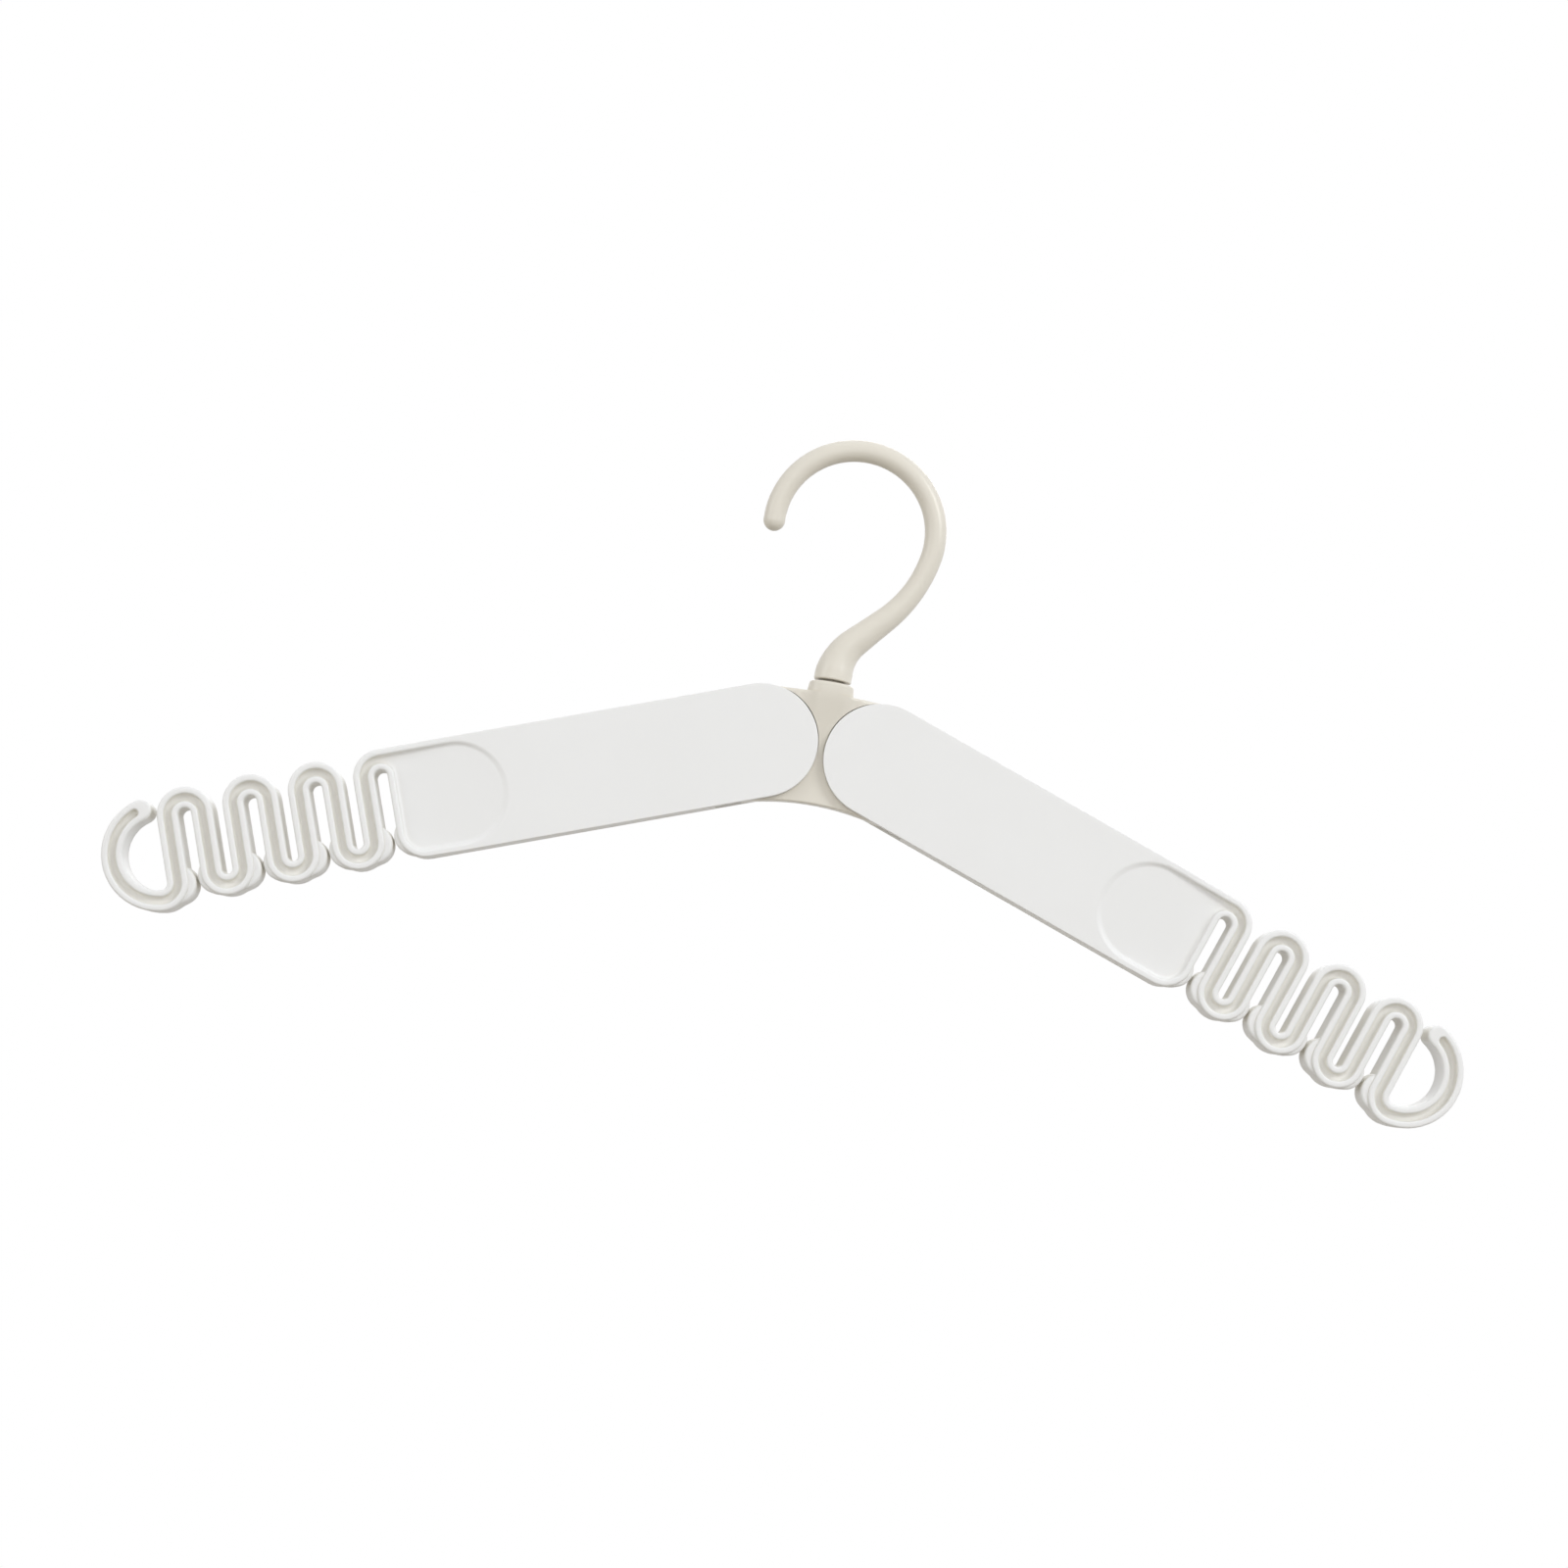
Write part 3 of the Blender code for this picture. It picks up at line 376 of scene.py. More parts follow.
def finish_tree(tree, geometry, material):
    """End a tree with real geometry instead of instances, and with its material."""
    realize = add_node(tree, "GeometryNodeRealizeInstances", {"Geometry": geometry})
    inputs = {"Geometry": realize.outputs["Geometry"], "Material": material}
    paint = add_node(tree, "GeometryNodeSetMaterial", inputs)
    add_node(tree, "NodeGroupOutput", {"Geometry": paint.outputs["Geometry"]})
    print("tree:", tree.name, "with", len(tree.nodes), "nodes")
    return tree


def use_tree(obj, tree, inputs):
    """Give an object a tree as its modifier, with each input set by its socket's identifier."""
    modifier = obj.modifiers.new(tree.name, "NODES")
    modifier.node_group = tree
    for item in tree.interface.items_tree:
        if item.in_out == "INPUT" and item.name in inputs:
            modifier[item.identifier] = inputs[item.name]


# %% Node tree: channel sweep
def sweep_tree():
    """Centre line in, channel strip out."""
    tree, value = new_tree("channel sweep", {"Section": "NodeSocketObject"})
    line = {"Curve": value["Geometry"]}
    upright = add_node(tree, "GeometryNodeSetCurveNormal", line, mode="Z_UP")
    section = add_node(tree, "GeometryNodeObjectInfo", {"Object": value["Section"]})
    curves = {"Curve": upright.outputs["Curve"], "Profile Curve": section.outputs["Geometry"]}
    sweep = add_node(tree, "GeometryNodeCurveToMesh", curves)
    return finish_tree(tree, sweep.outputs["Mesh"], value["Material"])


SWEEP_TREE = sweep_tree()

# %% [markdown]
# ## Finishes
#
# The plastics are satin mouldings. Up close such a surface isn't one flat colour: it has a faint
# cloudiness, a fine spark-eroded grain from the mould, and a gloss that changes a little from
# place to place. Three noises of unlike scale give these, all read from Object coordinates. In
# grooves and slots, where light reaches only after several bounces, a tan shade is painted into
# the colour: an occlusion mask mixes a darker, warmer copy of the base colour in there.


# %% Helpers for materials
def new_material(name):
    """A material with its tree, its shader and the place on the object."""
    material = bpy.data.materials.new(name)
    material.use_nodes = True
    tree = material.node_tree
    place = add_node(tree, "ShaderNodeTexCoord").outputs["Object"]
    return material, tree, tree.nodes["Principled BSDF"], place


def noise(tree, place, scale, detail=2.0):
    """Noise of the given scale."""
    inputs = {"Vector": place, "Scale": scale, "Detail": detail}
    return add_node(tree, "ShaderNodeTexNoise", inputs).outputs["Fac"]


def uneven(tree, texture, value, less, more):
    """Value that a texture moves between a little less and a little more."""
    inputs = {"Value": texture, "To Min": value - less, "To Max": value + more}
    return add_node(tree, "ShaderNodeMapRange", inputs).outputs["Result"]


def mix_colours(tree, share, first, second):
    """Colour between two others, all of the second where the share is 1."""
    inputs = {"Factor": share, "A": first, "B": second}
    return add_node(tree, "ShaderNodeMix", inputs, data_type="RGBA").outputs["Result"]


# %% Moulded plastic
CLOUD_SCALE, CLOUD_DETAIL = 38.0, 3.0
GLOSS_SCALE, GLOSS_LESS, GLOSS_MORE = 170.0, 0.05, 0.07
GRAIN_SCALE, GRAIN_DEPTH = 2600.0, 0.03 * MM
WAX_DEPTH = 0.8 * MM
PLASTIC_IOR = 1.5
# Painted shade: where an occlusion mask is closed, the colour is darkened and warmed by these
# factors.
PAINTED_SHADE_TINT = (0.94, 0.915, 0.84)
PAINTED_SHADE_REACH = 5.0 * MM
PAINTED_SHADE_FROM, PAINTED_SHADE_TO = 0.25, 0.85
PAINTED_SHADE_SAMPLES = 8


def moulded_plastic(name, base, shade, roughness, grain, wax):
    """Satin plastic: faint clouds, fine mould grain, varying gloss, painted shade in grooves."""
    material, tree, shader, place = new_material(name)
    clouds = noise(tree, place, CLOUD_SCALE, CLOUD_DETAIL)
    colour = mix_colours(tree, clouds, (*base, 1.0), (*shade, 1.0))
    # Painted shade in crevices: this occlusion mask mixes a darker, warmer copy of the base colour
    # in.
    depth = add_node(
        tree, "ShaderNodeAmbientOcclusion", {"Distance": PAINTED_SHADE_REACH},
        samples=PAINTED_SHADE_SAMPLES, only_local=True
    )
    unshaded_share = add_node(tree, "ShaderNodeMapRange", {
        "Value": depth.outputs["AO"], "From Min": PAINTED_SHADE_FROM, "From Max": PAINTED_SHADE_TO
    })
    # The painted shade colour for grooves and slots.
    deep = (*(a * b for a, b in zip(base, PAINTED_SHADE_TINT)), 1.0)
    gloss = noise(tree, place, GLOSS_SCALE)
    pits = noise(tree, place, GRAIN_SCALE)
    skin_inputs = {"Strength": grain, "Distance": GRAIN_DEPTH, "Height": pits}
    plug(tree, shader, {
        "Base Color": mix_colours(tree, unshaded_share.outputs["Result"], deep, colour),
        "Roughness": uneven(tree, gloss, roughness, GLOSS_LESS, GLOSS_MORE),
        "Normal": add_node(tree, "ShaderNodeBump", skin_inputs).outputs["Normal"],
        "Subsurface Weight": wax, "Subsurface Radius": (1.0, 1.0, 1.0),
        "Subsurface Scale": WAX_DEPTH, "IOR": PLASTIC_IOR,
    })
    print("finish:", name, "with", len(tree.nodes), "nodes")
    return material


WHITE = moulded_plastic(
    "white_moulding", (0.843, 0.842, 0.838), (0.82, 0.817, 0.81),
    roughness=0.42, grain=0.25, wax=0.15
)
GREY = moulded_plastic(
    "warm_grey_moulding", (0.757, 0.720, 0.642), (0.717, 0.675, 0.592),
    roughness=0.3, grain=0.12, wax=0.08
)
WASHER = moulded_plastic(
    "dark_washer", (0.34, 0.30, 0.25), (0.29, 0.255, 0.21), roughness=0.45, grain=0.3, wax=0.0
)

# %% [markdown]
# The screws and the leaf springs are bright zinc. A slight blotchiness in the gloss keeps them from
# looking like chrome.

# %% Plated steel
BLOTCH_SCALE, BLOTCH_LESS, BLOTCH_MORE = 900.0, 0.08, 0.10


def plated_steel(name, base, roughness):
    """Zinc plated steel with a blotchy gloss."""
    material, tree, shader, place = new_material(name)
    blotch = noise(tree, place, BLOTCH_SCALE)
    plug(tree, shader, {
        "Base Color": (*base, 1.0), "Metallic": 1.0,
        "Roughness": uneven(tree, blotch, roughness, BLOTCH_LESS, BLOTCH_MORE),
    })
    print("finish:", name, "with", len(tree.nodes), "nodes")
    return material


STEEL = plated_steel("plated_steel", (0.62, 0.62, 0.64), roughness=0.3)

# %% [markdown]
# ## Running the sweep
#
# The centre line and the section become curves of straight segments. The tree sweeps them, and the
# result is kept as a plain mesh. A very short straight run at each end of the centre line keeps the
# end sections square to it.

# %% Run the sweep
LEAD = 0.01 * MM


def line_curve(name, points, cyclic=False, dimensions="3D"):
    """Curve of straight segments through points in the u, w plane."""
    curve = bpy.data.curves.new(name, "CURVE")
    curve.dimensions = dimensions
    spline = curve.splines.new("POLY")
    spline.points.add(len(points) - 1)
    for point, (u, w) in zip(spline.points, points):
        point.co = (u, w, 0.0, 1.0)
    spline.use_cyclic_u = cyclic
    return curve


def centre_line():
    """Centre line from the first bend to the groove's end, with its short runs."""
    points = []
    for centre, radius, start, end in BENDS[:-1]:
        points += arc(centre, radius, start, end)
    centre, radius, start, _ = HOOK_END
    points += arc(centre, radius, start, GROOVE_END)[1:]
    lead_in = (points[0][0] + LEAD, points[0][1])
    lead_out = polar(centre, radius, GROOVE_END - math.degrees(LEAD / radius))
    return [points[0], lead_in] + points[1:-1] + [lead_out, points[-1]]


def whole_section():
    """The closed channel section, as distance across and height."""
    front = SECTION + [(-x, t) for x, t in reversed(SECTION)]
    back = [(x, -t) for x, t in reversed(front)]
    return front + back[1:-1]


def swept_strip():
    """Mesh of the strip, without its two ends."""
    section = link("section", line_curve("section", whole_section(), cyclic=True))
    path = link("strip_path", line_curve("strip_path", centre_line()))
    use_tree(path, SWEEP_TREE, {"Section": section, "Material": WHITE})
    mesh = evaluated_mesh(path)
    bpy.data.objects.remove(path)
    bpy.data.objects.remove(section)
    return mesh


strip_mesh = swept_strip()
strip_reach = max(abs(vertex.co.z) for vertex in strip_mesh.vertices)
print("strip faces:", len(strip_mesh.polygons), "half thickness in mm:", round(strip_reach / MM, 2))

# %% [markdown]
# ## Closing the strip: the round tip
#
# Skins stretched between matching lines close the two ends. Each point of the section starts a
# line on one side of the strip and ends on the other. At the tip the rim's lines run on round the
# end, and the groove's lines turn back a little earlier, which leaves a solid round nose.


# %% Lines round the tip
def tip_path(distance, grooved):
    """Line round the tip, for a section point at this distance from the centre line."""
    centre, radius, _, end = HOOK_END
    out_side = arc(centre, radius - distance, GROOVE_END, end)
    back_side = arc(centre, radius + distance, end, GROOVE_END)
    turn = GROOVE_END if grooved else end
    cap = arc(polar(centre, radius, turn), distance, turn + 180.0, turn)
    if grooved:
        out_side = [cap[0]] * len(out_side)
        back_side = [cap[-1]] * len(back_side)
    return out_side + cap + back_side


def tip_lines(face):
    """Lines of the tip in u, w, t for the front (1) or the back (-1)."""
    rims = [(point, False) for point in RIM_POINTS]
    grooves = [(point, True) for point in GROOVE_POINTS]
    return [
        [(u, w, face * t) for u, w in tip_path(x, grooved)] for (x, t), grooved in rims + grooves
    ]


print("points round the tip:", len(tip_path(HALF_STRAND, False)))

# %% [markdown]
# ## Closing the strip: the slab
#
# At the inner end the same lines run out along the slab: the rim's lines follow the slab's outline
# round the pivot end, and the groove's lines follow the recess in the front face. The recess has a
# round inner end, where it is only a faint step, and it deepens until it runs on into the groove.

# %% Outline of the slab
INNER_ARC_STEP = 4.0
SIDE_COUNT = 12


def slab_path(half, centre, corner_radius, slot_radius):
    """Run along the slab: its top, its round inner end, its bottom, a corner and the slot."""
    round_end = arc(centre, half, 90.0, 270.0, INNER_ARC_STEP)
    corner = arc(SLAB_CORNER, corner_radius, -90.0, 0.0)
    slot = arc(FIRST_BEND, slot_radius, 180.0, 90.0)
    top = line_between((FIRST_BEND[0], half), round_end[0], SIDE_COUNT)
    bottom = line_between(round_end[-1], corner[0], SIDE_COUNT)[1:]
    return top + round_end + bottom + corner + slot


def slab_rim_path(inset):
    """Outline of the slab, inset."""
    slot_radius = TOP_BEND_RADIUS - HALF_STRAND + inset
    return slab_path(ARM_HALF_WIDTH - inset, (0.0, 0.0), SLAB_CORNER_RADIUS - inset, slot_radius)


print("points round the slab:", len(slab_rim_path(0.0)))

# %% [markdown]
# In the photograph the edge of the slab is crisp, and the strip's is rounder. So the rim's lines
# start as round as the strip and grow sharper along the slab.

# %% Rim lines of the slab
SLAB_EDGE_SHARE = 0.3
SLAB_EDGE_EASE = (2.0 * MM, 14.0 * MM)


def slab_rim_line(distance, height):
    """Rim line in u, w, t: as round as the strip where it starts, and sharper along the slab."""
    near, far = SLAB_EDGE_EASE
    line = []
    for sharp, round_one in zip(slab_rim_path(0.0), slab_rim_path(HALF_STRAND - distance)):
        away = (ARM_REACH - sharp[0] - near) / (far - near)
        share = 1.0 - (1.0 - SLAB_EDGE_SHARE) * clamp(away)
        u, w = (mix(a, b, share) for a, b in zip(sharp, round_one))
        t = height if height == 0.0 else HALF_THICKNESS - (HALF_THICKNESS - height) * share
        line.append((u, w, t))
    return line


# %% Lines of the recess and of the rear groove
RECESS_START = ARM_REACH - 33.0 * MM
RECESS_SHALLOW = 0.32 * MM
RECESS_SLOPE = 2.0 * MM
REAR_GROOVE_START = ARM_REACH - 1.0 * MM


def recess_path(inset):
    """Outline of the recess, inset."""
    centre = (RECESS_START + ARM_HALF_WIDTH - RIDGE, 0.0)
    corner_radius = SLAB_CORNER_RADIUS - RIDGE - inset
    slot_radius = TOP_BEND_RADIUS - GROOVE_HALF + inset
    return slab_path(ARM_HALF_WIDTH - RIDGE - inset, centre, corner_radius, slot_radius)


def recess_point(index, steep, soft):
    """Point of the recess's edge in u, w, t: steep where it is deep, soft where shallow."""
    _, t = GROOVE_POINTS[index]
    even = index / (len(GROOVE_POINTS) - 1)
    slope = (t - HALF_THICKNESS) / GROOVE_DEPTH
    smooth = -smooth_step(even, 0.0, 1.0)
    share = clamp((steep[0] - RECESS_START) / (FIRST_BEND[0] - RECESS_START))
    depth = mix(RECESS_SHALLOW, GROOVE_DEPTH, share)
    near, far = (*steep, slope), (*soft, smooth)
    u, w, fall = (mix(a, b, 1.0 - share) for a, b in zip(near, far))
    return (u, w, HALF_THICKNESS + fall * depth)


def recess_line(index):
    """Line of the recess's edge for one point of the groove's section."""
    steep = recess_path(GROOVE_HALF - GROOVE_POINTS[index][0])
    soft = recess_path(RECESS_SLOPE * (index / (len(GROOVE_POINTS) - 1) - 0.5))
    return [recess_point(index, *pair) for pair in zip(steep, soft)]


def rear_groove_line(distance, height, point_count):
    """Round end of the rear groove, with as many points as the slab's outline."""
    middle = FIRST_BEND[1] + TOP_BEND_RADIUS
    start, back = (FIRST_BEND[0], middle + distance), (FIRST_BEND[0], middle - distance)
    round_end = arc((REAR_GROOVE_START, middle), distance, 90.0, 270.0, INNER_ARC_STEP)
    tail_count = point_count - SIDE_COUNT - len(round_end)
    tail = line_between(round_end[-1], back, tail_count)[1:]
    line = line_between(start, round_end[0], SIDE_COUNT) + round_end + tail + [back]
    return [(u, w, -height) for u, w in line]


def slab_lines(face):
    """Lines of the slab in u, w, t for the front (1) or the back (-1)."""
    lines = [[(u, w, face * t) for u, w, t in slab_rim_line(*point)] for point in RIM_POINTS]
    if face > 0:
        return lines + [recess_line(index) for index in range(len(GROOVE_POINTS))]
    return lines + [rear_groove_line(x, t, len(lines[0])) for x, t in GROOVE_POINTS]


print("recess from u =", round(RECESS_START / MM, 1), "mm")

# %% Skins between the lines
def skin(work, lines):
    """Faces between neighbouring lines of points, and one face over the last line."""
    rows = [[work.verts.new(point) for point in points] for points in lines]
    stretch(work, rows)
    work.faces.new(rows[-1])


def arm_body():
    """Slab, strip and tip in the u, w, t layout."""
    work = bmesh.new()
    work.from_mesh(strip_mesh)
    for face in (1.0, -1.0):
        skin(work, tip_lines(face))
        skin(work, slab_lines(face))
    return mesh_object("arm_body", work)


shell = arm_body()
open_edges = welded(shell.data)
print("arm body:", len(shell.data.polygons), "faces,", open_edges, "open edges")

# %% [markdown]
# ## Helper solids
#
# Pads, bosses, ribs and cutters are flat plates, boxes and pegs that stand on the arm's flat
# layout. A plate is a filled 2D curve with an extrude, and its bevel rounds both of its edges. The
# curve's negative offset keeps the rounded plate inside the outline that was asked for.

# %% Plates, blocks and pegs
EDGE_STEPS = 3
PEG_STEPS = 64
OVERRUN = 2.0 * MM


def curve_mesh(name, curve):
    """Plain mesh of a curve."""
    source = link(name, curve)
    mesh = evaluated_mesh(source)
    bpy.data.objects.remove(source)
    return mesh


def plate(name, outline, low, high, edge=0.0):
    """Flat plate with the given outline between two heights t, with rounded edges."""
    curve = line_curve(name, outline, cyclic=True, dimensions="2D")
    curve.fill_mode = "BOTH"
    curve.extrude = (high - low) / 2 - edge
    curve.bevel_depth = edge
    curve.bevel_resolution = EDGE_STEPS
    curve.offset = -edge
    mesh = curve_mesh(name, curve)
    mesh.transform(Matrix.Translation((0.0, 0.0, (low + high) / 2)))
    welded(mesh)
    return link(name, mesh)


def block(name, low, high):
    """Box between two corners."""
    work = bmesh.new()
    size = [b - a for a, b in zip(low, high)]
    middle = [(a + b) / 2 for a, b in zip(low, high)]
    place = Matrix.Translation(middle) @ Matrix.Diagonal((*size, 1.0))
    bmesh.ops.create_cube(work, size=1.0, matrix=place)
    return mesh_object(name, work)


def peg(name, radius, low, high, place=(0.0, 0.0)):
    """Round peg along t between two heights."""
    work = bmesh.new()
    middle = Matrix.Translation((*place, (low + high) / 2))
    bmesh.ops.create_cone(
        work, cap_ends=True, segments=PEG_STEPS, radius1=radius, radius2=radius,
        depth=high - low, matrix=middle
    )
    return mesh_object(name, work)


# %% Turned solids and booleans
TURN_STEPS = 96


def turned(name, profile):
    """Solid turned about the w axis from points of radius and height."""
    mesh = bpy.data.meshes.new(name)
    points = [(radius, height, 0.0) for radius, height in profile]
    mesh.from_pydata(points, [(i, i + 1) for i in range(len(points) - 1)], [])
    obj = link(name, mesh)
    screw = obj.modifiers.new("turn", "SCREW")
    screw.axis = "Y"
    screw.steps = TURN_STEPS
    screw.render_steps = TURN_STEPS
    screw.use_merge_vertices = True
    screw.merge_threshold = WELD
    apply_modifiers(obj)
    welded(obj.data)
    return obj


def settle(obj, joined=(), removed=()):
    """Join helpers to a solid, then take others away, and delete them all."""
    for tools, operation in ((joined, "UNION"), (removed, "DIFFERENCE")):
        for tool in tools:
            modifier = obj.modifiers.new(tool.name, "BOOLEAN")
            modifier.operation = operation
            modifier.solver = "EXACT"
            modifier.object = tool
    apply_modifiers(obj)
    for tool in [*joined, *removed]:
        bpy.data.objects.remove(tool)
    return obj

# %% [markdown]
# ## Foot pads
#
# Where a slot opens below, a pad on each side nearly closes its mouth, so that a thin strap can't
# slip out. A pad's outline is the line that runs tightly round two circles: the pad's own and the
# rounding that it grows from. The pads stand a little lower than the ridges, and the part of them
# that would fill the groove is taken out again.

# %% Pads beside the low bends
PAD_RADIUS = 5.6 * MM
PAD_BULGE = 2.1 * MM
PAD_MOUTH = 0.6 * MM
PAD_DROP = 1.0 * MM
PAD_SETBACK = 0.8 * MM
PAD_EDGE = 0.9 * MM
PAD_ROOT = 2.0 * MM
PAD_SINK = 0.05 * MM


def pad_holders():
    """Roundings that the pads grow from, as centre and radius, with the slab's corner first."""
    low_bends = [bend for bend in BENDS[1:-1] if bend[3] > bend[2]]
    roundings = [(centre, radius + HALF_STRAND) for centre, radius, _, _ in low_bends]
    return [(SLAB_CORNER, SLAB_CORNER_RADIUS)] + roundings


def pad(holder, bulge, side):
    """Pad that bulges to one side of a rounding, cut back to the ridge it grows from."""
    (u, w), outer = holder
    ring = outer - PAD_SINK
    centre = (outer + bulge - PAD_RADIUS, -PAD_DROP)
    way = math.degrees(math.atan2(centre[1], centre[0]))
    lean = math.degrees(math.acos((ring - PAD_RADIUS) / math.hypot(*centre)))
    outline = arc(centre, PAD_RADIUS, way - lean, way + lean)
    outline += arc((0.0, 0.0), ring, way + lean, way - lean + 360.0)
    half = HALF_THICKNESS - PAD_SETBACK
    solid = plate("pad", [(u + side * a, w + b) for a, b in outline], -half, half, PAD_EDGE)
    keep_out = outer - HALF_STRAND + PAD_ROOT
    far = outer + STRAND
    rear, front = -ARM_THICKNESS, ARM_THICKNESS
    ends = sorted((u - side * far, u + side * PAD_DROP))
    return settle(solid, removed=[
        peg("bend", keep_out, rear, front, (u, w)),
        block("run", (u - keep_out, w, rear), (u + keep_out, w + far, front)),
        block("other_side", (ends[0], w - far, rear), (ends[1], w + far, front)),
    ])


def foot_pads():
    """All the pads as one object."""
    holders = pad_holders()
    small_bulge = SLOT_OPEN_BELOW - PAD_MOUTH - PAD_BULGE
    work = bmesh.new()
    for hubward, outward in zip(holders, holders[1:]):
        for piece in (pad(hubward, small_bulge, 1.0), pad(outward, PAD_BULGE, -1.0)):
            work.from_mesh(piece.data)
            bpy.data.objects.remove(piece)
    return mesh_object("pads", work)


pads = foot_pads()
print("pad faces:", len(pads.data.polygons))

# %% [markdown]
# ## The hollow inside
#
# The slab is a shell: a front cheek, walls round its edge, cross ribs and screw bosses. Its inner
# end is open so that the hub's round lobe can swing in it. The same cuts are made here as in the
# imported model, because the rear cover, the screws and the hub all have to fit.

# %% Sizes inside the arm
CHEEK = 2.0 * MM
WALL = 2.0 * MM
SEAM_GAP = 0.3 * MM
RUNNING_GAP = 0.3 * MM
CAVITY_END = ARM_REACH - 37.6 * MM
COVER_LENGTH = ARM_REACH - 3.6 * MM
PARTITION = 2.0 * MM
END_FLOOR = 3.5 * MM
HUB_BOTTOM = 15.6 * MM
STOP_START = HUB_BOTTOM + 0.6 * MM
RIB = 1.2 * MM
RIB_HEIGHT = 4.2 * MM
RIB_PLACES = (CAVITY_END * 0.51, CAVITY_END * 0.86)
SCREW_PLACES = (CAVITY_END * 0.685, ARM_REACH - 17.6 * MM)
BOSS_RADIUS = 3.0 * MM
PIVOT_BOSS_RADIUS = 4.0 * MM
CAVITY_HALF = ARM_HALF_WIDTH - WALL
CHEEK_INSIDE = HALF_THICKNESS - CHEEK
PIVOT_SHANK = 1.3 * MM
PIVOT_HEAD = 2.9 * MM
PIVOT_SHANK_LENGTH = 4.6 * MM
COVER_SHANK = 0.9 * MM
COVER_HEAD = 2.0 * MM
COVER_SHANK_LENGTH = 3.6 * MM
HEAD_HEIGHT = 0.9 * MM
HEAD_RECESS = 1.3 * MM
print("cavity ends at u =", round(CAVITY_END / MM, 1), "mm")


# %% Cutters and solids inside the arm
def hollow_cutters():
    """Cutters for the cover's seat, the cavity and the pocket at the end."""
    far = ARM_HALF_WIDTH + OVERRUN
    rear = -HALF_THICKNESS - OVERRUN
    cavity = [
        (-far, -far), (STOP_START, -far), (STOP_START, -CAVITY_HALF), (CAVITY_END, -CAVITY_HALF),
        (CAVITY_END, CAVITY_HALF), (0.0, CAVITY_HALF), (0.0, far), (-far, far)
    ]
    seat_high = (COVER_LENGTH + SEAM_GAP, far, SEAM_GAP - CHEEK_INSIDE)
    pocket_low = (CAVITY_END + PARTITION, -CAVITY_HALF, rear)
    pocket_high = (COVER_LENGTH - PARTITION, CAVITY_HALF, HALF_THICKNESS - END_FLOOR)
    return [
        plate("cavity", cavity, rear, CHEEK_INSIDE),
        block("cover_seat", (-far, -far, rear), seat_high),
        block("end_pocket", pocket_low, pocket_high),
    ]


def inner_solids():
    """Ribs and bosses that stand on the inside of the cheek."""
    root = CHEEK_INSIDE + CHEEK / 2
    wall = CAVITY_HALF + WALL / 2
    top = RUNNING_GAP - CHEEK_INSIDE
    solids = []
    for place in RIB_PLACES:
        low = (place - RIB / 2, -wall, CHEEK_INSIDE - RIB_HEIGHT)
        solids.append(block("cross_rib", low, (place + RIB / 2, wall, root)))
    low = (RIB_PLACES[0], -RIB / 2, CHEEK_INSIDE - RIB_HEIGHT / 2)
    solids.append(block("long_rib", low, (CAVITY_END + PARTITION / 2, RIB / 2, root)))
    solids.append(peg("pivot_boss", PIVOT_BOSS_RADIUS, top, root))
    boss_root = HALF_THICKNESS - END_FLOOR + CHEEK / 2
    solids += [peg("boss", BOSS_RADIUS, top, boss_root, (place, 0.0)) for place in SCREW_PLACES]
    return solids


def holes(place, cuts):
    """Round cutters at one place, each given as a radius without its gap and two heights."""
    return [peg("hole", radius + RUNNING_GAP, low, high, place) for radius, low, high in cuts]


def pilot_cutters():
    """Holes for the three screws."""
    rear = -HALF_THICKNESS - OVERRUN
    depth = COVER_SHANK_LENGTH + HEAD_RECESS - HALF_THICKNESS
    cutters = holes((0.0, 0.0), [(PIVOT_SHANK, rear, CHEEK_INSIDE - RUNNING_GAP)])
    for place in SCREW_PLACES:
        cutters += holes((place, 0.0), [(COVER_SHANK, rear, depth)])
    return cutters


# %% [markdown]
# ## Soft and sharp edges
#
# Every piece ends the same way. Faces are smooth, edges past a set angle stay sharp, and a
# Weighted Normal modifier leans the shading towards the large faces, so that flat ones look flat
# right up to their rounded edges. Then the mesh is put in its place and given to its body.

# %% Finishing a piece
SHARP_ANGLE = math.radians(32.0)


def finish_piece(obj, name, place, material, body, nodes):
    """Move a solid to its place, set its shading and material, and give it to its body."""
    obj.name = name
    obj.data.name = name
    obj.data.transform(place)
    if place.determinant() < 0.0:
        obj.data.flip_normals()
    obj.data.materials.clear()
    obj.data.materials.append(material)
    obj.data.shade_smooth()
    obj.data.set_sharp_from_angle(angle=SHARP_ANGLE)
    shading = obj.modifiers.new("shading", "WEIGHTED_NORMAL")
    shading.keep_sharp = True
    apply_modifiers(obj)
    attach(obj, body)
    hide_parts(*nodes)
    print(name, "has", len(obj.data.polygons), "faces")


def on_both_arms(obj, label, material, labels):
    """Finish a piece on the right arm and its mirror image on the left arm."""
    twin = link(label, obj.data.copy())
    for piece, side, place in ((obj, "right", ARM_FRAME), (twin, "left", TO_LEFT @ ARM_FRAME)):
        nodes = [f"{side}_{node}" for node in labels]
        finish_piece(piece, f"{side}_{label}", place, material, f"{side}_arm", nodes)


# %% The front shells
settle(shell, joined=[pads], removed=hollow_cutters())
settle(shell, joined=inner_solids(), removed=pilot_cutters())
on_both_arms(shell, "arm_front", WHITE, ["arm_front_shell"])

# %% [markdown]
# ## Rear covers
#
# The back of each arm is a plain plate with a softly rounded edge and three counterbores for its
# screws. The lips that locate it inside the walls are blocks joined to its inner face.

# %% Rear covers
COVER_EDGE = 0.7 * MM
COVER_CORNER = 1.0 * MM
LIP = 1.2 * MM
LIP_HEIGHT = 1.5 * MM
LIP_START = 20.0 * MM


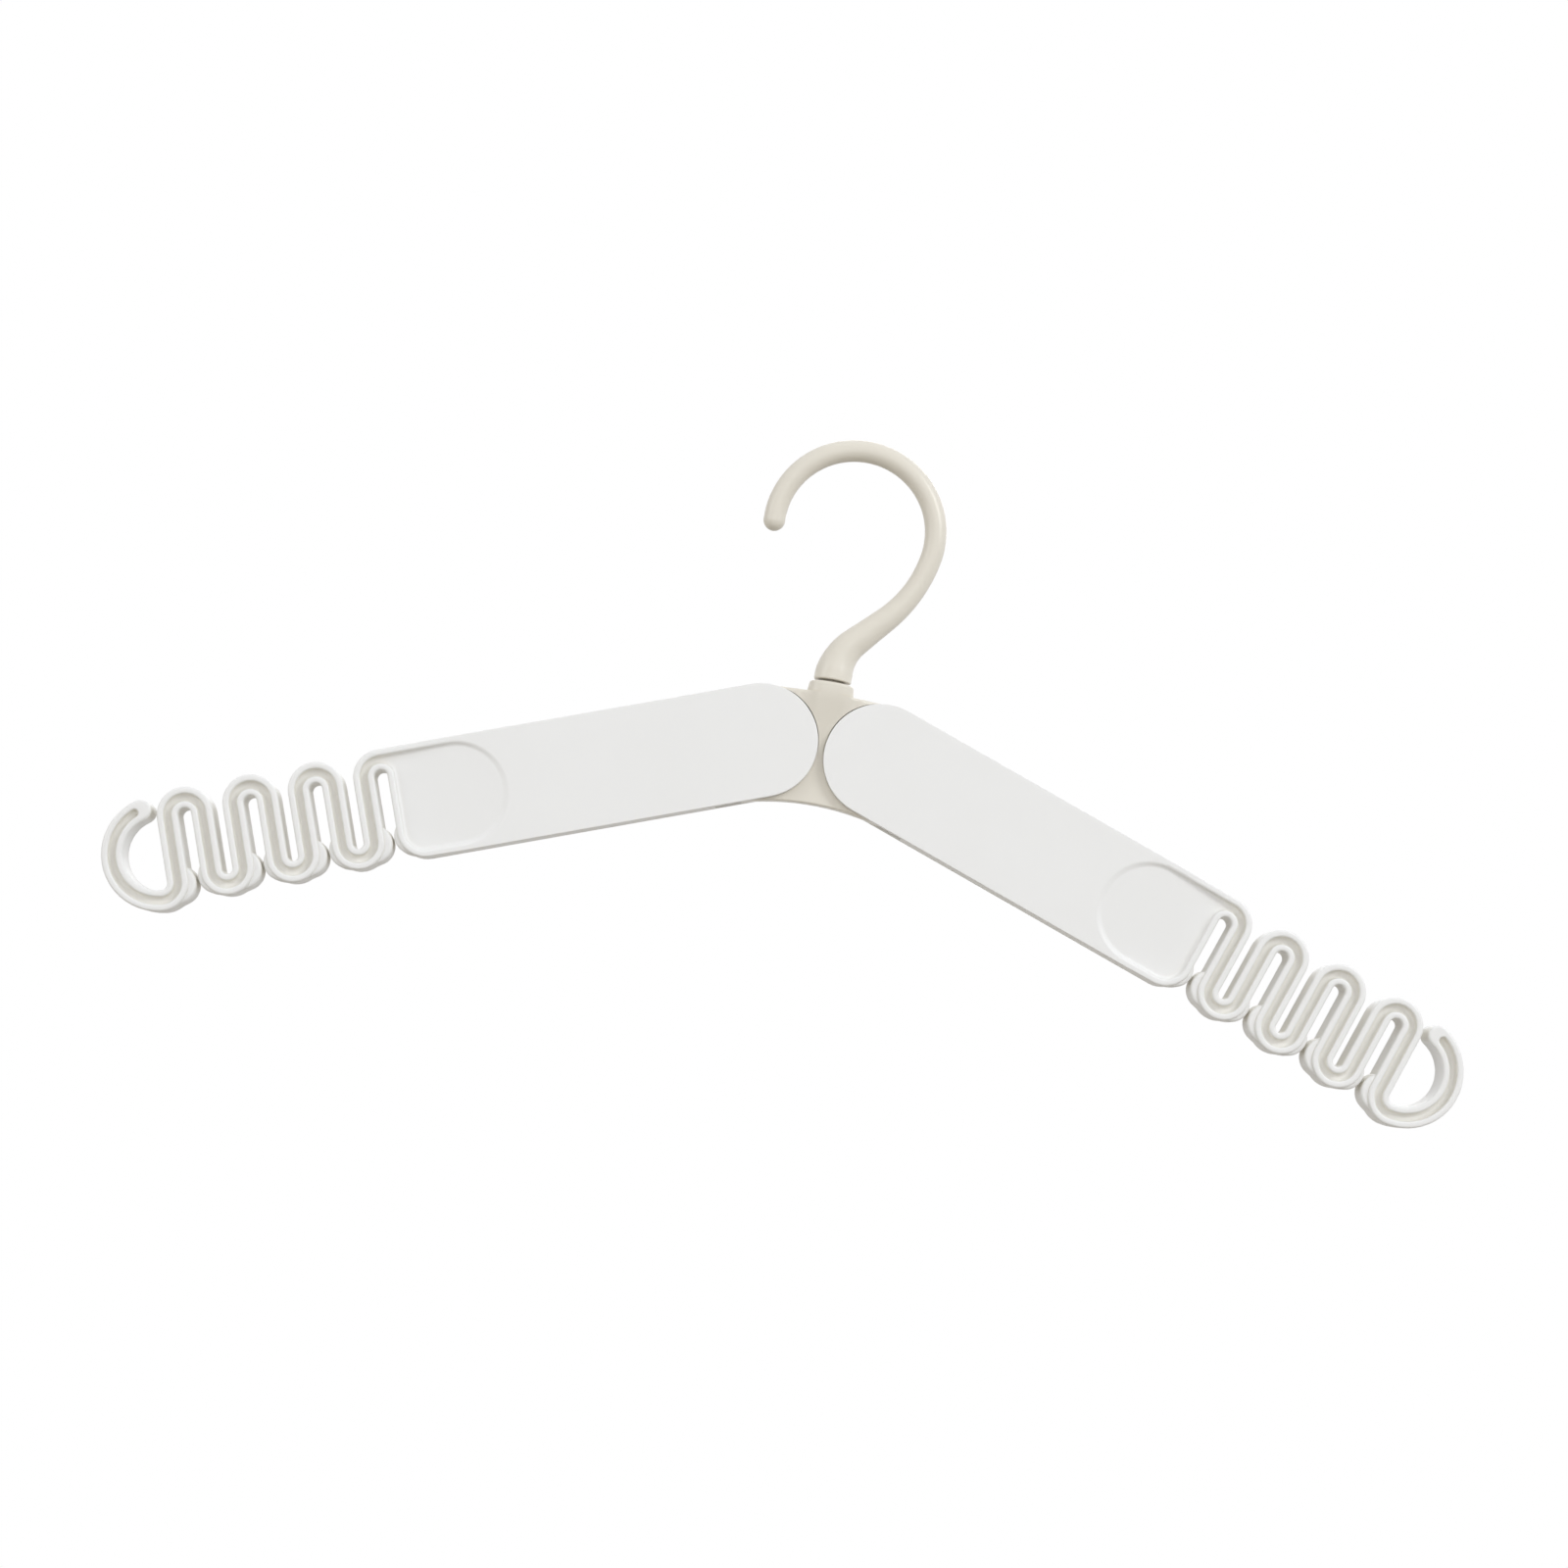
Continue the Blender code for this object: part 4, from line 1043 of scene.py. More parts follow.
def cover_outline():
    """Slab with the round inner end and the round lower corner of the arm."""
    centre = (COVER_LENGTH - COVER_CORNER, ARM_HALF_WIDTH - COVER_CORNER)
    turn = math.degrees(math.acos((COVER_LENGTH - SLAB_CORNER[0]) / SLAB_CORNER_RADIUS))
    outline = arc((0.0, 0.0), ARM_HALF_WIDTH, 90.0, 270.0, INNER_ARC_STEP)
    outline += arc(SLAB_CORNER, SLAB_CORNER_RADIUS, -90.0, -turn)
    return outline + arc(centre, COVER_CORNER, 0.0, 90.0, ROUND_STEP)


def rear_cover():
    """Cover plate with its lips and its screw holes."""
    cover = plate("cover", cover_outline(), -HALF_THICKNESS, -CHEEK_INSIDE, COVER_EDGE)
    lip_face = CAVITY_HALF - RUNNING_GAP
    lip_end, lip_top = CAVITY_END - RUNNING_GAP, LIP_HEIGHT - CHEEK_INSIDE
    lips = []
    for side in (-1.0, 1.0):
        edges = sorted((side * lip_face, side * (lip_face - LIP)))
        low = (LIP_START, edges[0], -CHEEK_INSIDE - CHEEK / 2)
        lips.append(block("lip", low, (lip_end, edges[1], lip_top)))
    floor, inside = HEAD_RECESS - HALF_THICKNESS, OVERRUN - CHEEK_INSIDE
    far = -HALF_THICKNESS - OVERRUN
    cutters = []
    fasteners = [(0.0, PIVOT_SHANK, PIVOT_HEAD)]
    fasteners += [(u, COVER_SHANK, COVER_HEAD) for u in SCREW_PLACES]
    for place, shank, head in fasteners:
        cutters += holes((place, 0.0), [(head, far, floor), (shank, far, inside)])
    return settle(cover, joined=lips, removed=cutters)


on_both_arms(rear_cover(), "arm_cover", WHITE, ["arm_rear_cover"])

# %% [markdown]
# ## Screws with Geometry Nodes
#
# Eight small screws close the hanger. They repeat, so one tree makes them: it takes their sizes and
# puts a screw on each point of its input. The head is a short cylinder under a cone, with a cross
# recess cut by two crossed boxes, and the shank is a plain pin, because its thread is never seen.


# %% Node tree: screws on points
SKIRT_SHARE, CROWN_SHARE = 0.6, 0.4
CROWN_TOP_SHARE = 0.82
SHANK_SHARE = -0.98
CROSS_LONG, CROSS_WIDE = 1.15, 0.26
SCREW_TURN = math.radians(30.0)


def screw_tree():
    """Points in, cross-recess screws out, with their heads towards -t."""
    sizes = ("Head Radius", "Head Height", "Shank Radius", "Shank Length")
    tree, value = new_tree("screws on points", {size: "NodeSocketFloat" for size in sizes})

    def scaled(socket, factor):
        node = add_node(tree, "ShaderNodeMath", {0: socket, 1: factor}, operation="MULTIPLY")
        return node.outputs["Value"]

    def moved(geometry, height):
        place = add_node(tree, "ShaderNodeCombineXYZ", {"Z": height}).outputs["Vector"]
        inputs = {"Geometry": geometry, "Translation": place}
        return add_node(tree, "GeometryNodeTransform", inputs).outputs["Geometry"]

    def cone(lower, upper, height):
        node = add_node(tree, "GeometryNodeMeshCone", {
            "Vertices": PEG_STEPS, "Radius Top": upper, "Radius Bottom": lower, "Depth": height
        })
        return node.outputs["Mesh"]

    def boolean(operation, first, others):
        node = add_node(
            tree, "GeometryNodeMeshBoolean", first, operation=operation, solver="EXACT"
        )
        for other in others:
            tree.links.new(other, node.inputs["Mesh 2"])
        return node.outputs["Mesh"]

    radius, height = value["Head Radius"], value["Head Height"]
    skirt = cone(radius, radius, scaled(height, SKIRT_SHARE))
    crown = cone(radius, scaled(radius, CROWN_TOP_SHARE), scaled(height, CROWN_SHARE))
    crown = moved(crown, scaled(height, SKIRT_SHARE))
    shank = cone(value["Shank Radius"], value["Shank Radius"], value["Shank Length"])
    shank = moved(shank, scaled(value["Shank Length"], SHANK_SHARE))
    bars = []
    for long_side, short_side in ((CROSS_LONG, CROSS_WIDE), (CROSS_WIDE, CROSS_LONG)):
        sides = {"X": scaled(radius, long_side), "Y": scaled(radius, short_side), "Z": height}
        size = add_node(tree, "ShaderNodeCombineXYZ", sides).outputs["Vector"]
        bar = add_node(tree, "GeometryNodeMeshCube", {"Size": size})
        bars.append(moved(bar.outputs["Mesh"], height))
    solid = boolean("UNION", {}, [skirt, crown, shank])
    recessed = boolean("DIFFERENCE", {"Mesh 1": solid}, bars)
    turn = add_node(tree, "GeometryNodeTransform", {
        "Geometry": recessed, "Rotation": (math.pi, 0.0, SCREW_TURN)
    })
    spread = add_node(tree, "GeometryNodeInstanceOnPoints", {
        "Points": value["Geometry"], "Instance": turn.outputs["Geometry"]
    })
    return finish_tree(tree, spread.outputs["Instances"], value["Material"])


SCREW_TREE = screw_tree()

# %% Screws of the arms
def screws(places, seat, head, shank, length):
    """Screws at the given places, with the undersides of their heads at the seat."""
    mesh = bpy.data.meshes.new("screw_places")
    mesh.from_pydata([(u, w, seat) for u, w in places], [], [])
    obj = link("screws", mesh)
    use_tree(obj, SCREW_TREE, {
        "Head Radius": head, "Head Height": HEAD_HEIGHT, "Shank Radius": shank,
        "Shank Length": length, "Material": STEEL
    })
    return apply_modifiers(obj)


arm_seat = HEAD_RECESS - HALF_THICKNESS - RUNNING_GAP
pivot_screw = screws([(0.0, 0.0)], arm_seat, PIVOT_HEAD, PIVOT_SHANK, PIVOT_SHANK_LENGTH)
on_both_arms(pivot_screw, "pivot_screw_zinc", STEEL, ["pivot_screw"])
cover_places = [(place, 0.0) for place in SCREW_PLACES]
cover_length = COVER_SHANK_LENGTH - 2 * RUNNING_GAP
cover_screws = screws(cover_places, arm_seat, COVER_HEAD, COVER_SHANK, cover_length)
on_both_arms(cover_screws, "cover_screws", STEEL, ["cover_screw_mid", "cover_screw_end"])

# %% [markdown]
# ## The hub
#
# The hub is a thin plate between the two arms, with a round lobe inside each of them and a collar
# for the hook's stem. Both halves are cut from the same solid at the middle plane, so their seam
# fits by itself. The plate comes first: a flat top, two lobes and a hollow lower edge.

# %% Outline of the hub
HUB_TOP = 16.8 * MM
HUB_ARCH_RADIUS = 76.0 * MM
HUB_FOOT_ANGLE = -80.0
HUB_EDGE = 0.55 * MM
HUB_HALF = CHEEK_INSIDE - RUNNING_GAP
LOBE_RADIUS = CAVITY_HALF - RUNNING_GAP
ARCH_COUNT = 12


def hub_arch(u):
    """Rise of the hub's hollow lower edge."""
    return HUB_ARCH_RADIUS - math.sqrt(HUB_ARCH_RADIUS ** 2 - u ** 2)


def hub_outline():
    """Flat top, two lobes, two feet and a hollow lower edge."""
    pivot = (HALF_SPACING, 0.0)
    step = 90.0 - math.degrees(OPEN_DROOP)
    outer_step = step + math.degrees(RUNNING_GAP / HUB_TOP)
    inner_step = step + math.degrees(RUNNING_GAP / LOBE_RADIUS)
    right = arc(pivot, HUB_TOP, 90.0, outer_step, INNER_ARC_STEP)
    right += arc(pivot, LOBE_RADIUS, inner_step, HUB_FOOT_ANGLE, INNER_ARC_STEP)
    foot_u = right[-1][0]
    for index in range(ARCH_COUNT):
        u = foot_u * (1.0 - index / ARCH_COUNT)
        right.append((u, -HUB_BOTTOM - hub_arch(u)))
    left = [(-u, w) for u, w in reversed(right)]
    return right + [(0.0, -HUB_BOTTOM)] + left


print("points round the hub:", len(hub_outline()))

# %% [markdown]
# Between the arms the hub's face swells up to the collar in one smooth slope. A slope like this is
# hard to build from rounded blocks, and easy to write as a height over the plate. It is steepest on
# the middle line, falls away sideways, and is cut clear of the arms' round ends. The collar is a
# stack of rings whose front is flatter than a circle, so that the slope runs on into it.

# %% Depth of the hub's face
COLLAR_TOP = 20.1 * MM
COLLAR_RADIUS = 6.5 * MM
COLLAR_DEPTH = 6.7 * MM
SPINDLE_RADIUS = 6.8 * MM
SPINDLE_HEIGHT = 17.4 * MM
SLOPE_LOW = 0.5 * MM
SLOPE_FOOT = -4.0 * MM
SLOPE_EDGE = 0.8 * MM
SLOPE_SINK = 0.02 * MM
SLOPE_SOFT_START, SLOPE_SOFT_END = 0.2, 0.15
SHOULDER = (3.0 * MM, 9.0 * MM, 14.0 * MM)
SHOULDER_SHARE = 0.48


def smooth_max(a, b, soft):
    """The larger of two values, with a rounded change from one to the other."""
    near = max(0.0, soft - abs(a - b)) / soft
    return max(a, b) + near * near * soft / 4


def middle_depth(w):
    """Depth of the hub's face on its middle line, from the plate up to the collar."""
    share = (w - SLOPE_LOW) / (SPINDLE_HEIGHT - SLOPE_LOW)
    share = -smooth_max(-smooth_max(0.0, share, SLOPE_SOFT_START), -1.0, SLOPE_SOFT_END)
    return mix(HUB_HALF, COLLAR_DEPTH, share)


def face_depth(u, w):
    """Depth of the hub's face, which falls away sideways and has a round top edge."""
    aside = abs(u)
    near, middle, far = SHOULDER
    side = 1.0 - (1.0 - SHOULDER_SHARE) * smooth_step(aside, near, middle)
    side -= SHOULDER_SHARE * smooth_step(aside, middle, far)
    over = max(0.0, w - (HUB_TOP - SLOPE_EDGE))
    drop = SLOPE_EDGE - math.sqrt(SLOPE_EDGE ** 2 - over ** 2)
    drop *= smooth_step(aside, COLLAR_RADIUS - SLOPE_EDGE, COLLAR_RADIUS)
    return HUB_HALF - SLOPE_SINK + (middle_depth(w) - HUB_HALF) * side - drop


print("depth below the collar in mm:", round(face_depth(0.0, HUB_TOP) / MM, 2))

# %% The sloping solid
SLOPE_HALF_WIDTH = 14.5 * MM
SLOPE_STEP = 0.25 * MM
SLOPE_CUT = 0.25 * MM


def closed(row):
    """A row of points that starts with its last one, so that faces close it to a ring."""
    return row[-1:] + row


def arm_room():
    """Pegs where the arms' cheeks turn, in front of the hub's plate and behind it."""
    pegs = []
    low, far = HUB_HALF - SLOPE_CUT, ARM_THICKNESS
    for side in (-1.0, 1.0):
        for span in ((low, far), (-far, -low)):
            place = (side * HALF_SPACING, 0.0)
            pegs.append(peg("arm_room", ARM_HALF_WIDTH + RUNNING_GAP, *span, place))
    return pegs


def slope_solid():
    """Solid under the sloping face, the same on the front and on the back."""
    columns = round(2 * SLOPE_HALF_WIDTH / SLOPE_STEP)
    across = [SLOPE_HALF_WIDTH * (2 * j / columns - 1) for j in range(columns + 1)]
    high = HUB_TOP - SLOPE_SINK
    rows = round((high - SLOPE_FOOT) / SLOPE_STEP)
    work = bmesh.new()
    rims = []
    for face in (1.0, -1.0):
        grid = []
        for i in range(rows + 1):
            w = SLOPE_FOOT + (high - SLOPE_FOOT) * i / rows
            grid.append([work.verts.new((u, w, face * face_depth(u, w))) for u in across])
        stretch(work, grid)
        right = [row[-1] for row in grid]
        left = [row[0] for row in grid]
        rims.append(closed(grid[0] + right[1:] + grid[-1][-2::-1] + left[-2:0:-1]))
    stretch(work, rims)
    slope = mesh_object("slope", work)
    welded(slope.data)
    return settle(slope, removed=arm_room())


# %% The collar
COLLAR_ROUND = 0.7 * MM
COLLAR_SQUARE = 3.0
COLLAR_COUNT = 12
COLLAR_ROUND_STEP = 15.0


def collar_ring(w, inset):
    """Ring of the collar at a height: round at its sides and flatter in front."""
    taper = (COLLAR_RADIUS - SPINDLE_RADIUS) / (COLLAR_TOP - SPINDLE_HEIGHT)
    half_width = SPINDLE_RADIUS + taper * max(0.0, w - SPINDLE_HEIGHT) - inset
    half_depth = middle_depth(w) - inset
    ring = []
    for index in range(TURN_STEPS):
        angle = 2 * math.pi * index / TURN_STEPS
        x, y = math.cos(angle), math.sin(angle)
        u = math.copysign(abs(x) ** (2 / COLLAR_SQUARE), x) * half_width
        t = math.copysign(abs(y) ** (2 / COLLAR_SQUARE), y) * half_depth
        ring.append((u, w, t))
    return ring


def collar_solid():
    """Rings from inside the hub up to the round upper edge of the collar."""
    rings = [collar_ring(w, SLOPE_SINK) for w in (HUB_TOP - OVERRUN, HUB_TOP - SLOPE_EDGE)]
    low = HUB_TOP + SLOPE_SINK
    high = COLLAR_TOP - COLLAR_ROUND
    rings += [collar_ring(w, 0.0) for _, w in line_between((0.0, low), (0.0, high), COLLAR_COUNT)]
    for _, height in arc((0.0, 0.0), COLLAR_ROUND, 0.0, 90.0, COLLAR_ROUND_STEP):
        inset = COLLAR_ROUND - math.sqrt(max(0.0, COLLAR_ROUND ** 2 - height ** 2))
        rings.append(collar_ring(high + height, inset))
    work = bmesh.new()
    rows = [[work.verts.new(point) for point in ring] for ring in rings]
    stretch(work, [closed(row) for row in rows])
    work.faces.new(rows[0])
    work.faces.new(rows[-1])
    collar = mesh_object("collar", work)
    welded(collar.data)
    return collar

# %% [markdown]
# The hub holds the stem's head in a pocket, turns on the arms' bosses, and clicks with four small
# notches in its lobes. Two screws close it from behind. All of these are cut from each half.

# %% What is cut from the hub
STEM_RADIUS = 2.4 * MM
STEM_HEAD_RADIUS = 3.6 * MM
STEM_HEAD_HEIGHT = 1.8 * MM
STEM_LENGTH = 4.6 * MM
STEM_HEAD_LOW = COLLAR_TOP - STEM_LENGTH
DETENT_ANGLES = (35.0, -34.0)
DETENT_RADIUS = 1.1 * MM
DETENT_DEPTH = 0.6 * MM
HUB_SCREWS = (8.5 * MM, -10.5 * MM)
HUB_SHANK = 0.9 * MM
HUB_HEAD = 2.0 * MM
HUB_SEAT = 1.35 * MM
HUB_BITE = 1.5 * MM


def hub_cutters(rear):
    """Everything that is cut from one half of the hub."""
    far = HALF_SPACING + ARM_HALF_WIDTH + OVERRUN
    face = SEAM_GAP / 2
    span = (-face, far) if rear else (-far, face)
    tools = [block("other_half", (-far, -far, span[0]), (far, far, span[1]))]
    ceiling = STEM_HEAD_LOW + STEM_HEAD_HEIGHT + RUNNING_GAP
    floor = STEM_HEAD_LOW - RUNNING_GAP
    bore = STEM_RADIUS + RUNNING_GAP
    pocket = STEM_HEAD_RADIUS + RUNNING_GAP
    top = COLLAR_TOP + OVERRUN
    tools.append(turned("swivel_pocket", [
        (0.0, top), (bore, top), (bore, ceiling), (pocket, ceiling), (pocket, floor), (0.0, floor)
    ]))
    deep = HUB_HALF + OVERRUN
    for side in (-1.0, 1.0):
        tools += holes((side * HALF_SPACING, 0.0), [(PIVOT_BOSS_RADIUS, -deep, deep)])
        for angle in DETENT_ANGLES:
            u, w = polar((HALF_SPACING, 0.0), LOBE_RADIUS + DETENT_RADIUS - DETENT_DEPTH, angle)
            tools.append(peg("notch", DETENT_RADIUS, -deep, deep, (side * u, w)))
    cuts = [(HUB_SHANK, -OVERRUN, HUB_BITE + RUNNING_GAP)]
    if rear:
        cuts = [(HUB_HEAD, -far, -face - HUB_SEAT), (HUB_SHANK, -far, OVERRUN)]
    for height in HUB_SCREWS:
        tools += holes((0.0, height), cuts)
    return tools

# %% The two hub shells
for half in ("front", "rear"):
    hub = plate("hub", hub_outline(), -HUB_HALF, HUB_HALF, HUB_EDGE)
    settle(hub, joined=[slope_solid(), collar_solid()], removed=hub_cutters(half == "rear"))
    finish_piece(hub, f"hub_{half}", HUB_FRAME, GREY, "hub", [f"hub_{half}_shell"])

hub_seat = -SEAM_GAP / 2 - HUB_SEAT - RUNNING_GAP
hub_length = SEAM_GAP / 2 + HUB_SEAT + RUNNING_GAP + HUB_BITE
hub_places = [(0.0, height) for height in HUB_SCREWS]
hub_nodes = ["hub_screw_upper", "hub_screw_lower"]
hub_screws = screws(hub_places, hub_seat, HUB_HEAD, HUB_SHANK, hub_length)
finish_piece(hub_screws, "hub_screws", HUB_FRAME, STEEL, "hub", hub_nodes)

# %% [markdown]
# ## The hook
#
# The hook is one round wire of plastic that thickens towards its base. A curve with a radius at
# each point makes it: a circle for the rail, a slow shoulder, a straight run and a tight neck. Its
# tip is a half ball, written as a few points whose radius shrinks. The stem is a turned pin.

# %% The hook's line
HOOK_OFFSET = -1.0 * MM
HOOK_RADIUS = 23.8 * MM
HOOK_WIRE = 3.2 * MM
HOOK_TIP = 182.4
SHOULDER_ANGLE = -10.0
SHOULDER_RADIUS = 40.0 * MM
NECK_ANGLE = -43.5
NECK_RADIUS = 16.0 * MM
BASE_RADIUS = 5.5 * MM
BASE_STRAIGHT = 1.4 * MM
BASE_ROUND = 0.45 * MM
TAPER_START = 3.0 * MM
TAPER_END = 36.0 * MM
WASHER_THICKNESS = 0.4 * MM
WASHER_PLAY = 0.25 * MM
WASHER_RADIUS = 4.0 * MM
HOOK_BASE = COLLAR_TOP + WASHER_THICKNESS + 2 * WASHER_PLAY
HOOK_CENTRE = (HOOK_OFFSET, -PIVOT.z - HOOK_RADIUS + HOOK_WIRE)
WIRE_STEP = 3.0
STRAIGHT_COUNT = 6
TIP_ANGLES = (89.0, 80.0, 70.0, 60.0, 50.0, 40.0, 30.0, 20.0, 10.0)
BASE_ANGLES = (0.0, 30.0, 60.0, 90.0)


def wire_radius(height):
    """Radius of the wire at a height. Its taper is steep at the base and ends softly."""
    share = clamp((height - HOOK_BASE - TAPER_START) / (TAPER_END - TAPER_START))
    return mix(HOOK_WIRE, BASE_RADIUS, (1.0 - share) ** 2)


def hook_line():
    """Centre line with its radii, from the tip to the base."""
    shoulder_centre = polar(HOOK_CENTRE, HOOK_RADIUS - SHOULDER_RADIUS, SHOULDER_ANGLE)
    neck_centre = (NECK_RADIUS, HOOK_BASE + BASE_STRAIGHT)
    tip = polar(HOOK_CENTRE, HOOK_RADIUS, HOOK_TIP)
    line = []
    for angle in TIP_ANGLES:
        turn = math.radians(angle)
        ahead = polar(tip, HOOK_WIRE * math.sin(turn), HOOK_TIP + 90.0)
        line.append((ahead, HOOK_WIRE * math.cos(turn)))
    bends = arc(HOOK_CENTRE, HOOK_RADIUS, HOOK_TIP, SHOULDER_ANGLE, WIRE_STEP)
    bends += arc(shoulder_centre, SHOULDER_RADIUS, SHOULDER_ANGLE, NECK_ANGLE, WIRE_STEP)[1:]
    neck = arc(neck_centre, NECK_RADIUS, 180.0 + NECK_ANGLE, 180.0, WIRE_STEP)
    bends += line_between(bends[-1], neck[0], STRAIGHT_COUNT)[1:]
    line += [(point, wire_radius(point[1])) for point in bends + neck]
    for angle in BASE_ANGLES:
        turn = math.radians(angle)
        height = HOOK_BASE + BASE_ROUND - BASE_ROUND * math.sin(turn)
        line.append(((0.0, height), BASE_RADIUS - BASE_ROUND + BASE_ROUND * math.cos(turn)))
    return line


print("points on the hook's line:", len(hook_line()))

# %% The hook and its stem
WIRE_ROUND_STEPS = 14


def hook_solid():
    """Bevelled curve with the stem joined to it."""
    line = hook_line()
    curve = line_curve("hook_wire", [point for point, _ in line])
    curve.bevel_depth = HOOK_WIRE
    curve.bevel_resolution = WIRE_ROUND_STEPS
    curve.use_fill_caps = True
    for point, (_, radius) in zip(curve.splines[0].points, line):
        point.radius = radius / HOOK_WIRE
    wire = link("hook_wire", curve_mesh("hook_line", curve))
    welded(wire.data)
    root = HOOK_BASE + OVERRUN
    head_top = STEM_HEAD_LOW + STEM_HEAD_HEIGHT
    stem = turned("stem", [
        (0.0, root), (STEM_RADIUS, root), (STEM_RADIUS, head_top), (STEM_HEAD_RADIUS, head_top),
        (STEM_HEAD_RADIUS, STEM_HEAD_LOW), (0.0, STEM_HEAD_LOW)
    ])
    return settle(wire, joined=[stem])


finish_piece(hook_solid(), "hook_wire", HUB_FRAME, GREY, "hook", ["hook"])

# %% [markdown]
# ## Washer and springs
#
# A thin dark washer shows as a line between the hook's base and the hub's collar. It is turned
# from the four corners of its section. The two leaf springs inside the arms have the right shape
# already and only take the steel.

# %% Washer and springs
washer_low = COLLAR_TOP + WASHER_PLAY
washer_high = washer_low + WASHER_THICKNESS
washer_bore = STEM_RADIUS + RUNNING_GAP
washer = turned("washer", [
    (washer_bore, washer_high), (WASHER_RADIUS, washer_high), (WASHER_RADIUS, washer_low),
    (washer_bore, washer_low), (washer_bore, washer_high)
])
finish_piece(washer, "washer", HUB_FRAME, WASHER, "hub", ["swivel_washer"])
for side in ("right", "left"):
    spring = frame["nodes"][f"{side}_detent_spring"]
    spring.material_slots[0].material = STEEL
    print(spring.name, "takes the steel")

# %% [markdown]
# ## Floor, backdrop and light
#
# The photograph has a plain white ground and soft light, mostly from the front and from the upper
# right. The eye sees a white world, and so do mirrors and clear things. To all other light the
# world is a gradient: nearly neutral from the upper right, and dim and warm from the lower left,
# which is what draws the brown edges on the sides that look down. The floor lies well below, pale
# to the eye and dim to other light. The lamps are a key from the upper right, softer ones in front
# and on the left, and one behind.

# %% What the eye sees and what lights the object
FILL_HIGH = (0.765, 0.785, 0.815, 1.0)
FILL_LOW = (0.36, 0.33, 0.275, 1.0)
PURE_WHITE = (1.0, 1.0, 1.0, 1.0)


def straight_view(tree):
    """Socket that is 1 where the eye, a mirror or a clear thing looks, and 0 for other light."""
    path = tree.nodes.new("ShaderNodeLightPath")
    seen = path.outputs["Is Camera Ray"]
    for kind in ("Is Glossy Ray", "Is Transmission Ray"):
        inputs = {0: seen, 1: path.outputs[kind]}
        seen = add_node(tree, "ShaderNodeMath", inputs, operation="MAXIMUM").outputs["Value"]
    return seen


def mix_shaders(tree, share, first, second):
    """Mix of two shader nodes, all of the second where the share is 1."""
    inputs = {"Fac": share, 1: first.outputs[0], 2: second.outputs[0]}
    return add_node(tree, "ShaderNodeMixShader", inputs)

# %% Floor
FLOOR_DROP = 0.75
FLOOR_RADIUS = 1.6
FLOOR_SIDES = 96
FLOOR_COLOUR = (0.86, 0.86, 0.85, 1.0)
FLOOR_ROUGHNESS = 0.9
FADE_START, FADE_END = 0.35 * FLOOR_RADIUS, 0.95 * FLOOR_RADIUS


def floor_material():
    """Pale floor that fades to the white of the backdrop towards its rim, dim to diffuse light."""
    material, tree, shader, place = new_material("floor")
    plug(tree, shader, {"Base Color": FLOOR_COLOUR, "Roughness": FLOOR_ROUGHNESS})
    distance = add_node(tree, "ShaderNodeVectorMath", {0: place}, operation="LENGTH")
    fade = add_node(tree, "ShaderNodeMapRange", {
        "Value": distance.outputs["Value"], "From Min": FADE_START, "From Max": FADE_END
    }, interpolation_type="SMOOTHSTEP")
    glow = add_node(tree, "ShaderNodeEmission", {"Color": PURE_WHITE})
    dim = add_node(tree, "ShaderNodeEmission", {"Color": FILL_LOW})
    pale = mix_shaders(tree, fade.outputs["Result"], shader, glow)
    whole = mix_shaders(tree, straight_view(tree), dim, pale)
    plug(tree, tree.nodes["Material Output"], {"Surface": whole.outputs["Shader"]})
    return material


disc = bmesh.new()
bmesh.ops.create_circle(disc, cap_ends=True, segments=FLOOR_SIDES, radius=FLOOR_RADIUS)
floor = mesh_object("floor", disc)
floor.data.materials.append(floor_material())
floor.location = (0.0, 0.0, -FLOOR_DROP)
floor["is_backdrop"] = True
print("floor:", FLOOR_RADIUS, "m in radius,", FLOOR_DROP, "m down")

